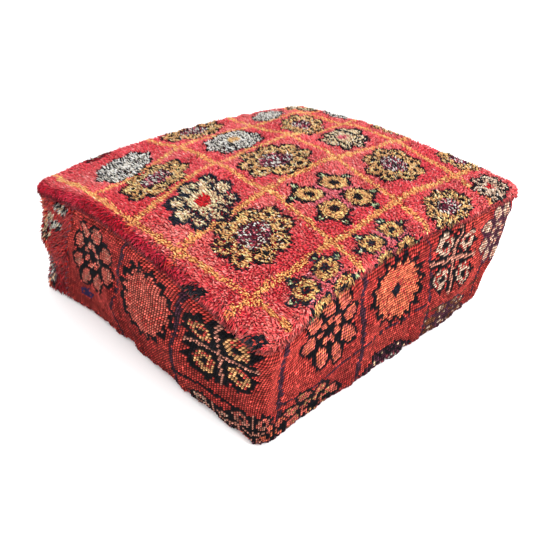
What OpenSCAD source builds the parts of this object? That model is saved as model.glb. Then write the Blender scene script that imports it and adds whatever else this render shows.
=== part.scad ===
// Square floor cushion: a zipped cover cut from knotted rug, round a stuffed calico pad.
// Units are millimetres. +Z is up, and the origin is at the middle of the base, on the floor.

/* [Cushion] */
// Width along X, at the top seam's corners
cushion_w = 600; // [450:10:800]
// Depth along Y, at the top seam's corners
cushion_d = 650; // [450:10:800]
// Height of the top seam at the corners
seam_h = 210; // [160:5:280]
// How much higher the top seam is at the middle of each side
edge_rise = 28; // [0:1:36]
// Height of the crowned top's centre above the corner seam
crown_rise = 54; // [40:1:80]
// How far the base seam is drawn in on every side
base_inset = 11; // [0:1:18]
// Radius of the upright corners
corner_r = 30; // [20:1:44]
// How far each side bows out at the middle of its length
side_bow = 0; // [0:1:12]
// How far each side swells out at the middle of its height
side_belly = 1; // [0:1:10]

/* [Rug panels] */
// Thickness of the top panel, foundation and pile
top_t = 14; // [8:1:20]
// Thickness of the two side bands
band_t = 10; // [6:1:14]
// Thickness of the base panels
base_t = 10; // [9:1:14]
// Length of the seam allowances turned in along the top and base seams
allowance = 12; // [8:1:14]
// Thickness of one turned-in ply
ply_t = 3; // [2:0.5:4]
// How far round the corner each band laps onto the next side
band_lap = 60; // [60:1:120]

/* [Thread] */
// Diameter of the seam thread
thread_d = 1.4; // [0.8:0.1:2]
// Distance between stitches along a seam
stitch_pitch = 12; // [8:1:20]

/* [Zip] */
// Length of the zip's row of teeth
zip_len = 360; // [280:10:400]
// Distance between two teeth of one row
tooth_pitch = 4; // [3.5:0.1:5]
// Length of one tooth along the zip
tooth_l = 1.7; // [1.2:0.1:1.7]
// Thickness of a tooth
tooth_t = 3; // [2.4:0.1:3.4]
// How far a tooth reaches onto its tape from the zip's middle
tooth_w = 4.2; // [3.6:0.1:5]
// How far a tooth's head crosses the zip's middle
tooth_mesh = 1.1; // [0.8:0.1:1.3]
// Width of one zip tape
tape_w = 18; // [15:1:24]
// Thickness of a zip tape
tape_t = 0.8; // [0.5:0.1:1]
// Width of the slot in the base
slot_w = 17; // [16:0.5:20]
// Length of the slider
slider_l = 24; // [20:1:30]
// Thickness of the slider's two plates
plate_t = 1.2; // [1:0.1:1.5]
// Length of the pull from its pivot to its tip
pull_l = 34; // [25:1:45]
// Thickness of the pull
pull_t = 1.4; // [1.2:0.1:1.6]

/* [Inner pad] */
// Thickness of the calico case
case_t = 1.2; // [0.8:0.1:2]
// Width of the case's turned-in seam
case_allowance = 9; // [6:1:14]
// Clear space between the pad and what surrounds it
pad_gap = 1.5; // [1:0.5:4]
// Clear space between the fill and its case
fill_gap = 1.2; // [1:0.1:2]

/* [Hidden] */

half_w = cushion_w/2;
half_d = cushion_d/2;
centre_h = seam_h + crown_rise;
crown_power = 2.3;          // how late the crown falls away towards the seam
ply_step = ply_t/sqrt(2);   // a ply's thickness, along X and along Z, where it lies at 45 degrees
corner_depth = 60;          // how deep inside the outline the round corners come to a point
arc_steps = 8;
embed = 1;                  // how far a folded ply is sunk into its own panel
round_fn = 24;

// ---- The outline of the top seam: [x, y, inward step x, inward step y, rise share] ----
straight_w = half_w - corner_r;
straight_d = half_d - corner_r;
join_share = (half_w - band_lap)/straight_w;     // where the bands join, along a front or rear side
side_shares = [-join_share, -0.7, -0.45, -0.2, 0, 0.2, 0.45, 0.7, join_share];

// A point on the side that faces the direction a, at the share s of its straight half-length.
function side_point(a, reach, along, s) = let(
    out = reach + side_bow*(1 - s*s),
    lean = atan(2*side_bow*s/along))
    [out*cos(a) - s*along*sin(a), out*sin(a) + s*along*cos(a),
     -cos(a + lean), -sin(a + lean), 1 - s*s];

// A point on the round corner between the sides that face a and a + 90. Its inward step takes the corner's
// radius down to nothing at corner_depth.
function corner_point(a, cx, cy, step) = let(
    t = a + 90*step/arc_steps,
    k = corner_r/corner_depth)
    [cx + corner_r*cos(t), cy + corner_r*sin(t),
     -(1 - k)*sign(cx) - k*cos(t), -(1 - k)*sign(cy) - k*sin(t), 0];

outline = concat(
    [for (s = side_shares) side_point(0, half_w, straight_d, s)],
    [for (k = [0:arc_steps]) corner_point(0, straight_w, straight_d, k)],
    [for (s = side_shares) side_point(90, half_d, straight_w, s)],
    [for (k = [0:arc_steps]) corner_point(90, -straight_w, straight_d, k)],
    [for (s = side_shares) side_point(180, half_w, straight_d, s)],
    [for (k = [0:arc_steps]) corner_point(180, -straight_w, -straight_d, k)],
    [for (s = side_shares) side_point(270, half_d, straight_w, s)],
    [for (k = [0:arc_steps]) corner_point(270, straight_w, -straight_d, k)]);
n_out = len(outline);
per_side = len(side_shares) + arc_steps + 1;

// The distance from the outline point i to the next, and the point at the share f of that way.
function span(i) = norm([outline[(i + 1) % n_out][0] - outline[i][0], outline[(i + 1) % n_out][1] - outline[i][1]]);
function between(i, f) = outline[i]*(1 - f) + outline[(i + 1) % n_out]*f;

function seam_z(p) = seam_h + edge_rise*p[4];
function inset(p, d) = [p[0] + p[2]*d, p[1] + p[3]*d];
function top_z(p, k) = centre_h + (seam_z(p) - centre_h)*pow(k, crown_power);

// A profile point is [kind, a, b, c]. Kind 0 lies the distance a inside the outline, at the share b of the
// seam's height plus c. Kind 1 lies at the share a of the way from the centre to the outline, c above the crown.
function place(p, q) = q[0] == 0
    ? [each inset(p, q[1]), q[2]*seam_z(p) + q[3]]
    : [p[0]*q[1], p[1]*q[1], top_z(p, q[1]) + q[3]];

// ---- Solids swept round the outline ----
// A closed solid from one pole to the other, through the rings that the profile gives. Each four-sided patch is
// cut into two triangles along one diagonal, or along the other if crossed, so that mating faces match.
module turned(profile, z_first, z_last, crossed = false) {
    rings = len(profile);
    pts = concat([for (q = profile) each [for (p = outline) place(p, q)]], [[0, 0, z_first], [0, 0, z_last]]);
    pole = rings*n_out;
    last = (rings - 1)*n_out;
    polyhedron(pts, concat(
        [for (r = [0:rings - 2]) for (i = [0:n_out - 1])
            let(j = (i + 1) % n_out, a = r*n_out + i, b = r*n_out + j, c = (r + 1)*n_out + j, d = (r + 1)*n_out + i)
            each crossed ? [[a, b, d], [b, c, d]] : [[a, b, c], [a, c, d]]],
        [for (i = [0:n_out - 1]) [pole, (i + 1) % n_out, i]],
        [for (i = [0:n_out - 1]) [pole + 1, last + i, last + (i + 1) % n_out]]));
}

// A closed solid through rings of points, with a flat end on the first and on the last.
module skinned(rings) {
    m = len(rings[0]);
    n = len(rings);
    polyhedron([for (ring = rings) each ring], concat(
        [for (i = [0:n - 2]) for (k = [0:m - 1]) let(l = (k + 1) % m)
            each [[i*m + k, (i + 1)*m + k, i*m + l], [(i + 1)*m + k, (i + 1)*m + l, i*m + l]]],
        [[for (k = [0:m - 1]) k]],
        [[for (k = [m - 1:-1:0]) (n - 1)*m + k]]));
}

// ---- Where the seams meet ----
// The outside of the bands, inside the outline, at this share of the seam's height.
function side_in(share) = base_inset*(1 - share) - side_belly*4*share*(1 - share);

mitre_top = [0, band_t, 1, -top_t];
ply_top = [0, band_t + allowance, 1, -top_t - allowance];
mitre_base = [0, base_inset + band_t, 0, base_t];
ply_base = [0, base_inset + band_t + allowance, 0, base_t + allowance];

// The band's inner face, with d of extra cloth folded against it.
function inner_top(d) = [0, band_t + d, 1, -top_t - 2*ply_step - d];
function inner_middle(d) = [0, side_in(0.5) + band_t + d, 0.5, 0];
function inner_base(d) = [0, base_inset + band_t + d, 0, base_t + 2*ply_step + d];

function band_profile(d) = [
    [0, 0, 1, 0],
    [0, side_in(0.75), 0.75, 0],
    [0, side_in(0.5), 0.5, 0],
    [0, side_in(0.25), 0.25, 0],
    [0, base_inset, 0, 0],
    mitre_base,
    ply_base,
    [0, base_inset + band_t + allowance - ply_step, 0, base_t + allowance + ply_step],
    inner_base(d),
    inner_middle(d),
    inner_top(d),
    [0, band_t + allowance - ply_step, 1, -top_t - allowance - ply_step],
    ply_top,
    mitre_top];

module top_panel() {
    color("indianred") turned(concat(
        [for (k = [0.25, 0.5, 0.7, 0.85, 0.95]) [1, k, 0, 0]],
        [[0, 0, 1, 0],
         mitre_top,
         ply_top,
         [0, band_t + allowance + ply_step, 1, -top_t - allowance + ply_step],
         [0, band_t + 2*ply_step, 1, -top_t]],
        [for (k = [0.85, 0.7, 0.5, 0.25]) [1, k, 0, -top_t]]),
        centre_h, centre_h - top_t);
}

// ---- Side bands. At each join the band's end is folded back flat against its inner face. ----
front_join = 3*per_side;                         // the front side's first outline point
rear_join = per_side;                            // the rear side's first outline point
fold_edge = 0.5;                                 // length over which a folded end's cut edge slopes

// The outline point this far past the point i, or before it where along is negative.
function beside(i, along) = along > 0 ? between(i, along/span(i)) : between(i - 1, 1 + along/span(i - 1));

// The band for the front and the right: the rear and left band is the same one turned half round.
module side_band() {
    first = [for (q = [[0, ply_t], [allowance, ply_t], [allowance + fold_edge, 0]]) [beside(front_join, q[0]), q[1]]];
    middle = [for (i = [1:2*per_side - 1]) [outline[(front_join + i) % n_out], 0]];
    last = [for (q = [[allowance + fold_edge, 0], [allowance, ply_t], [0, ply_t]]) [beside(rear_join, -q[0]), q[1]]];
    skinned([for (end = concat(first, middle, last)) [for (q = band_profile(end[1])) place(end[0], q)]]);
}

module side_band_front() { color("brown") side_band(); }
module side_band_rear() { color("firebrick") rotate([0, 0, 180]) side_band(); }

// ---- Zip: places along X, with the closed end at +X ----
teeth = floor(zip_len/tooth_pitch);
chain_half = teeth*tooth_pitch/2;                // the chain reaches this far each way from the middle
tape_half = tape_t/2;
chain_z = base_t + tape_half;                    // the tapes lie on the base panels
tape_edge = 1.8;                                 // distance of a tape's bead from the zip's middle
play = 0.3;                                      // running clearance of the slider
slider_w = 13;
held_teeth = 8;                                  // length of chain held inside the slider
slider_x = chain_half + slider_l/2 - held_teeth; // the slider's middle, with the zip closed
nose_x = slider_x + slider_l/2;
tail_x = slider_x - slider_l/2;
stop_l = 3;
stop_in = 0.6;                                   // a top stop's distance from the zip's middle
travel = tail_x + chain_half - play;             // how far the slider runs towards -X
pull_room = 2;
slot_from = slider_x - travel - pull_l - pull_room;   // leaves room for the pull with the zip open
slot_to = nose_x + stop_l + 2*pull_room;
tape_past = 14;                                  // how far the tapes run on past the slot
tape_from = slot_from - tape_past;
tape_to = slot_to + tape_past;

// ---- Base panels, meeting at the middle beyond both ends of the zip ----
base_profile = [
    [0, base_inset + band_t + 2*ply_step, 0, base_t],
    [0, base_inset + band_t + allowance + ply_step, 0, base_t + allowance - ply_step],
    ply_base,
    mitre_base,
    [0, base_inset, 0, 0]];
join_reach = half_w - base_inset - band_t - allowance - 3*ply_step;   // how far out the middle join's plies go
join_ply_w = 10;
join_runs = [[-join_reach, tape_from - 2], [tape_to + 2, join_reach]];

// side is 1 for the rear half and -1 for the front half.
module base_half(side) {
    reach = 2*max(cushion_w, cushion_d);
    intersection() {
        difference() {
            turned(base_profile, base_t, 0);
            translate([slot_from, -slot_w/2, -base_t]) cube([slot_to - slot_from, slot_w, 3*base_t]);
        }
        translate([-reach/2, side > 0 ? 0 : -reach, -base_t]) cube([reach, reach, 4*base_t + allowance]);
    }
    for (run = join_runs)
        translate([run[0], side > 0 ? 0 : -join_ply_w, base_t - embed])
            cube([run[1] - run[0], join_ply_w, ply_t + embed]);
}

module base_panel_front() { color("saddlebrown") union() { base_half(-1); } }
module base_panel_rear() { color("sienna") union() { base_half(1); } }

// ---- Seam threads: one stitch is a short length of thread through both plies ----
ply_middle = 0.6*allowance;
cross_l = 2*ply_t + 2*thread_d;

// up is 1 at the top seam, whose plies hang down, and -1 at the base seam, whose plies stand up.
module ring_of_stitches(depth, share, lift, up) {
    for (i = [0:n_out - 1])
        if (span(i) > 0.5*stitch_pitch) {
            count = max(1, round(span(i)/stitch_pitch));
            for (j = [0:count - 1]) {
                p = between(i, (j + 0.5)/count);
                at = place(p, [0, depth, share, lift]);
                translate(at) rotate([0, 90 - 45*up, atan2(p[3], p[2])])
                    cylinder(h = cross_l, d = thread_d, center = true, $fn = round_fn);
            }
        }
}

module top_seam_thread() {
    color("black") ring_of_stitches(band_t + ply_middle, 1, -top_t - ply_middle, 1);
}

module base_seam_thread() {
    color("black") ring_of_stitches(base_inset + band_t + ply_middle, 0, base_t + ply_middle, -1);
}

// A join's two plies lie open and flat, and its stitches cross from one into the other.
module join_thread() {
    p = outline[front_join];
    foot = place(p, inner_base(ply_t/2));
    middle = place(p, inner_middle(ply_t/2));
    head = place(p, inner_top(ply_t/2));
    count = floor((head[2] - foot[2])/stitch_pitch);
    for (j = [0:count - 1]) {
        z = foot[2] + (j + 0.5)*(head[2] - foot[2])/count;
        x = lookup(z, [for (q = [foot, middle, head]) [q[2], q[0]]]);
        y = lookup(z, [for (q = [foot, middle, head]) [q[2], q[1]]]);
        translate([x, y, z]) rotate([0, 90, atan2(-p[2], p[3])])
            cylinder(h = cross_l, d = thread_d, center = true, $fn = round_fn);
    }
}

module band_join_thread_front() { color("black") join_thread(); }
module band_join_thread_rear() { color("black") rotate([0, 0, 180]) join_thread(); }

module base_join_thread() {
    color("black")
        for (run = join_runs) {
            count = max(1, floor((run[1] - run[0])/stitch_pitch));
            for (j = [0:count - 1])
                translate([run[0] + (j + 0.5)*(run[1] - run[0])/count, 0, base_t + ply_t/2])
                    rotate([90, 0, 0])
                        cylinder(h = cross_l, d = thread_d, center = true, $fn = round_fn);
        }
}

// ---- Zip parts ----
module tape(side) {
    translate([tape_from, side > 0 ? tape_edge : -tape_w, base_t])
        cube([tape_to - tape_from, tape_w - tape_edge, tape_t]);
}

module zip_tape_front() { color("dimgray") tape(-1); }
module zip_tape_rear() { color("gray") tape(1); }

// A tooth's outline in Y and Z, with its head this far from the zip's middle: it grips the tape's edge.
function tooth_outline(head) = [[head, -tooth_t/2], [tooth_w, -tooth_t/2], [tooth_w, -tape_half],
    [tape_edge, -tape_half], [tape_edge, tape_half], [tooth_w, tape_half], [tooth_w, tooth_t/2], [head, tooth_t/2]];

// An outline in Y and Z, made this long from x on, on the tape of one side.
module on_tape(x, length, side, points) {
    translate([x, 0, chain_z]) rotate([90, 0, 90])
        linear_extrude(length) polygon([for (q = points) [q[0]*side, q[1]]]);
}

module teeth_row(side, shift) {
    for (k = [0:teeth - 1])
        on_tape(-chain_half + k*tooth_pitch + shift, tooth_l, side, tooth_outline(-tooth_mesh));
}

// The rows are half a pitch apart, so their teeth take turns at the middle.
module zip_teeth_front() { color("goldenrod") teeth_row(-1, (tooth_pitch/2 - tooth_l)/2); }
module zip_teeth_rear() { color("gold") teeth_row(1, (3*tooth_pitch/2 - tooth_l)/2); }

module zip_top_stops() {
    color("silver") for (side = [-1, 1]) on_tape(nose_x + play, stop_l, side, tooth_outline(stop_in));
}

module zip_bottom_stop() {
    half = tooth_outline(0);
    color("silver") on_tape(-chain_half - stop_l, stop_l, 1,
        concat(half, [for (i = [len(half) - 2:-1:1]) [-half[i][0], half[i][1]]]));
}

zip_stitch = 8;
module zip_thread(side) {
    count = floor((tape_to - tape_from)/zip_stitch);
    for (j = [0:count - 1])
        translate([tape_from + (j + 0.5)*(tape_to - tape_from)/count, side*(slot_w/2 + tape_w)/2, base_t - thread_d])
            cylinder(h = tape_t + 2*thread_d, d = thread_d, $fn = round_fn);
}

module zip_thread_front() { color("black") zip_thread(-1); }
module zip_thread_rear() { color("black") zip_thread(1); }

// ---- Slider and pull, built with Z away from the pad, then turned over ----
channel_h = tooth_t/2 + play;                    // half the height of the channel for the teeth
body_h = channel_h + plate_t;
rail_w = slider_w/2 - tooth_w - play;
rail_gap = tape_half + play;
pin_play = 0.4;                                  // clear of the cross pin, to the plate and to the bail
sunk = 0.25;                                     // how far the slider's pieces are sunk into each other
bail_l = 9;
bail_w = 2.4;
bail_bar = 1.2;
bail_leg = 1.5;
pull_w = 8;
window_l = 6.4;                                  // the pull's window, which lets it swing past the bail
pivot_h = body_h + pull_t/2 + pin_play;          // the pull's cross pin, over the outer plate
bail_h = pivot_h + pull_t/2 + pin_play;          // under side of the bail's bar

module slider_plate(z) {
    translate([0, 0, z]) linear_extrude(plate_t) polygon([
        [-slider_l/2, -slider_w/2 + 1], [-slider_l/2 + 2, -slider_w/2], [slider_l/2 - 3, -slider_w/2],
        [slider_l/2, -slider_w/2 + 2.5], [slider_l/2, slider_w/2 - 2.5], [slider_l/2 - 3, slider_w/2],
        [-slider_l/2 + 2, slider_w/2], [-slider_l/2, slider_w/2 - 1]]);
}

module slider_body() {
    rail_from = -slider_l/2 + 2.5;
    rail_l = slider_l - 6;
    wedge_half = tape_edge - play;
    wedge_end = slider_l/2 - 0.6;
    wedge_l = 2.8;
    slider_plate(channel_h);
    slider_plate(-body_h);
    for (side = [-1, 1], face = [-1, 1])
        translate([rail_from, side > 0 ? tooth_w + play : -slider_w/2, face > 0 ? rail_gap : -channel_h - sunk])
            cube([rail_l, rail_w, channel_h - rail_gap + sunk]);
    translate([0, 0, -body_h + sunk]) linear_extrude(2*body_h - 2*sunk) polygon([
        [wedge_end - wedge_l, 0], [wedge_end - wedge_l/3, wedge_half], [wedge_end, wedge_half],
        [wedge_end, -wedge_half], [wedge_end - wedge_l/3, -wedge_half]]);
    difference() {
        translate([-bail_l/2, -bail_w/2, body_h - sunk]) cube([bail_l, bail_w, bail_h + bail_bar - body_h + sunk]);
        translate([-bail_l/2 + bail_leg, -bail_w, body_h]) cube([bail_l - 2*bail_leg, 2*bail_w, bail_h - body_h]);
    }
}

// The pull lies towards -X from its cross pin, which turns under the bail.
module pull_body() {
    arm_in = bail_w/2 + play;
    tip_r = pull_w/2;
    hole_r = 2;
    rotate([90, 0, 0]) cylinder(h = pull_w, d = pull_t, center = true, $fn = round_fn);
    for (side = [-1, 1])
        translate([-window_l, side > 0 ? arm_in : -pull_w/2, -pull_t/2]) cube([window_l, pull_w/2 - arm_in, pull_t]);
    difference() {
        union() {
            translate([tip_r - pull_l, -pull_w/2, -pull_t/2]) cube([pull_l - tip_r - window_l, pull_w, pull_t]);
            translate([tip_r - pull_l, 0, -pull_t/2]) cylinder(h = pull_t, r = tip_r, $fn = 48);
        }
        translate([tip_r - pull_l, 0, -pull_t]) cylinder(h = 2*pull_t, r = hole_r, $fn = round_fn);
    }
}

module zip_slider() {
    color("silver") translate([slider_x, 0, chain_z]) mirror([0, 0, 1]) union() { slider_body(); }
}

module zip_pull() {
    color("silver") translate([slider_x, 0, chain_z - pivot_h]) union() { pull_body(); }
}

// ---- The pad: a two-part calico case, sewn together round its middle, and its fill ----
pad_side = band_t + ply_t + pad_gap;             // the case's side, inside the bands' outside
pad_top = top_t + pad_gap;                       // the case's top, under the crown
pad_base = base_t + tape_half + body_h + pad_gap;   // the case's base clears the slider
clear_top = band_t + top_t + 2*allowance + 1.5*pad_gap;
clear_base = band_t + base_t + 2*allowance + 1.5*pad_gap;
shoulder = 0.8;                                  // share of the half-width where the case's top turns down
seam_share = 0.5;

// Rings of the case's outside, from the middle of its top to its seam, and from its seam to its base.
// d draws them in by one thickness after another.
function case_upper(d) = concat(
    [for (k = [0.3, 0.6, shoulder]) [1, k - d/half_w, 0, -pad_top - d]],
    [[0, pad_side + d, 1, -clear_top + pad_side - 0.4*d]]);
function case_lower(d) = [
    [0, base_inset + pad_side + d, 0, clear_base - pad_side + 0.4*d],
    [0, base_inset + clear_base - pad_base + d, 0, pad_base + d]];
function case_seam(d, lift) = [0, side_in(seam_share) + pad_side + d, seam_share, lift];

module pad_case_top() {
    color("wheat") turned(concat(
        case_upper(0),
        [case_seam(0, 0), case_seam(case_allowance, 0), case_seam(case_allowance, case_t), case_seam(case_t, case_t)],
        [for (i = [3:-1:0]) case_upper(case_t)[i]]),
        centre_h - pad_top, centre_h - pad_top - case_t);
}

module pad_case_base() {
    color("burlywood") turned(concat(
        [for (i = [1:-1:0]) case_lower(case_t)[i]],
        [case_seam(case_t, -case_t), case_seam(case_allowance, -case_t), case_seam(case_allowance, 0), case_seam(0, 0)],
        case_lower(0)),
        pad_base + case_t, pad_base, crossed = true);
}

module pad_case_thread() {
    color("ivory")
        for (i = [0:n_out - 1])
            if (span(i) > 0.5*stitch_pitch) {
                count = max(1, round(span(i)/stitch_pitch));
                for (j = [0:count - 1])
                    translate(place(between(i, (j + 0.5)/count), case_seam(0.6*case_allowance, 0)))
                        cylinder(h = 2*case_t + thread_d, d = thread_d, center = true, $fn = round_fn);
            }
}

module pad_fill() {
    loose = case_t + fill_gap;
    groove = case_t + thread_d;
    color("linen") turned(concat(
        case_upper(loose),
        [case_seam(loose, groove), case_seam(case_allowance + loose, groove),
         case_seam(case_allowance + loose, -groove), case_seam(loose, -groove)],
        case_lower(loose)),
        centre_h - pad_top - loose, pad_base + loose);
}

top_panel();
side_band_front();
side_band_rear();
base_panel_front();
base_panel_rear();
top_seam_thread();
base_seam_thread();
band_join_thread_front();
band_join_thread_rear();
base_join_thread();
zip_tape_front();
zip_tape_rear();
zip_teeth_front();
zip_teeth_rear();
zip_top_stops();
zip_bottom_stop();
zip_thread_front();
zip_thread_rear();
zip_slider();
zip_pull();
pad_case_top();
pad_case_base();
pad_case_thread();
pad_fill();
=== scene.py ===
"""A square floor cushion sewn from a knotted rug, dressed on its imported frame.

The cover's panels are woven here knot by knot: the top and the rear band show their pile, and the front
band is turned so that the back of its knots shows. Lengths are millimetres until a mesh is made.
"""

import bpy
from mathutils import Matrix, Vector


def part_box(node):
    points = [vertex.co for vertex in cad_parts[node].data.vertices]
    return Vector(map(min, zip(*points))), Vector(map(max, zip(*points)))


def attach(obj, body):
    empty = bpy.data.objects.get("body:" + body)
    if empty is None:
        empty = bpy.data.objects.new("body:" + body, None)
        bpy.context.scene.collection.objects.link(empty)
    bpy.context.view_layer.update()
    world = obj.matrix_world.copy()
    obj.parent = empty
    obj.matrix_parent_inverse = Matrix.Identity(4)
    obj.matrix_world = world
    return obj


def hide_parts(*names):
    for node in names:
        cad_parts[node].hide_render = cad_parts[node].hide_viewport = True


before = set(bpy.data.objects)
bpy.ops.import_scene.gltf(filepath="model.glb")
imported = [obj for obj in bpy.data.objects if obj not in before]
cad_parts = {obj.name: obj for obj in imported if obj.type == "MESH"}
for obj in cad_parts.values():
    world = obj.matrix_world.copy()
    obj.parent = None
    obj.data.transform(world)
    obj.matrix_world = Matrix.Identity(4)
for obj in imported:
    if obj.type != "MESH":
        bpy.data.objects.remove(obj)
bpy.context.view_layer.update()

import logging
import math
from dataclasses import dataclass, replace
from enum import Enum
from typing import Callable, Optional, Sequence

import bpy
import numpy as np
from mathutils import Matrix, Vector

LOG = logging.getLogger("floor_cushion")
MM = 0.001
Surface = Callable[[np.ndarray, np.ndarray], np.ndarray]
Face = tuple[int, ...]


class Dye(Enum):
    """The yarn colours, as sRGB values."""

    CORAL = (0.93, 0.25, 0.30)
    CORAL_LIGHT = (1.0, 0.48, 0.47)
    SCARLET = (0.86, 0.20, 0.17)
    CRIMSON = (0.56, 0.06, 0.13)
    GOLD = (0.95, 0.69, 0.46)
    AMBER = (1.08, 0.66, 0.42)
    CREAM = (0.98, 0.82, 0.66)
    WHITE = (0.93, 0.90, 0.85)
    GREY = (0.55, 0.47, 0.49)
    INK = (0.07, 0.06, 0.09)
    NAVY = (0.09, 0.11, 0.17)
    PLUM = (0.38, 0.13, 0.22)
    PINK = (0.90, 0.42, 0.47)
    RED = (0.83, 0.14, 0.17)
    LEAF = (0.74, 0.80, 0.62)
    BRICK = (0.69, 0.19, 0.18)
    BRICK_LIGHT = (0.86, 0.31, 0.27)
    SALMON = (0.90, 0.43, 0.37)
    ORANGE = (1.0, 0.50, 0.36)
    ROSE = (0.86, 0.56, 0.48)
    PALE = (0.92, 0.76, 0.66)
    MAUVE = (0.36, 0.18, 0.25)
    VIOLET = (0.25, 0.19, 0.40)
    BROWN = (0.55, 0.32, 0.21)


DYES = list(Dye)
NUMBER = {dye: i for i, dye in enumerate(DYES)}


def linear(colour: np.ndarray) -> np.ndarray:
    """Turns sRGB values into linear ones.

    Args:
        colour: Values from 0 to 1.

    Returns:
        The linear values.
    """
    colour = np.asarray(colour, float)
    return np.where(colour <= 0.04045, colour / 12.92, ((colour + 0.055) / 1.055) ** 2.4)


def rgba(dye: Dye, depth: float) -> tuple[float, float, float, float]:
    """Gives a dye as a linear RGBA colour, taken down by a share."""
    return (*(linear(np.array(dye.value)) * depth), 1.0)


PALETTE = linear(np.array([dye.value for dye in DYES]))


@dataclass(frozen=True)
class Lumps:
    """Slow swells over a surface, the same on every run."""

    seed: int
    length: float
    waves: int = 16

    def at(self, points: np.ndarray) -> np.ndarray:
        """Gives the height of the swells.

        Args:
            points: Places, in millimetres, along the last axis.

        Returns:
            Heights of about 1 either way.
        """
        draw = np.random.default_rng(self.seed)
        ways = draw.normal(size=(self.waves, points.shape[-1]))
        ways /= np.linalg.norm(ways, axis=1)[:, None]
        ways *= (2 * math.pi / (self.length * draw.uniform(0.7, 1.6, self.waves)))[:, None]
        starts = draw.uniform(0, 2 * math.pi, self.waves)
        return np.sin(points @ ways.T + starts).sum(-1) / math.sqrt(self.waves / 2)


@dataclass(frozen=True)
class Tug:
    """One pull in the cloth, strongest at its own point and fading round it."""

    at: tuple[float, float, float]
    reach: float
    move: tuple[float, float, float]


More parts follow.
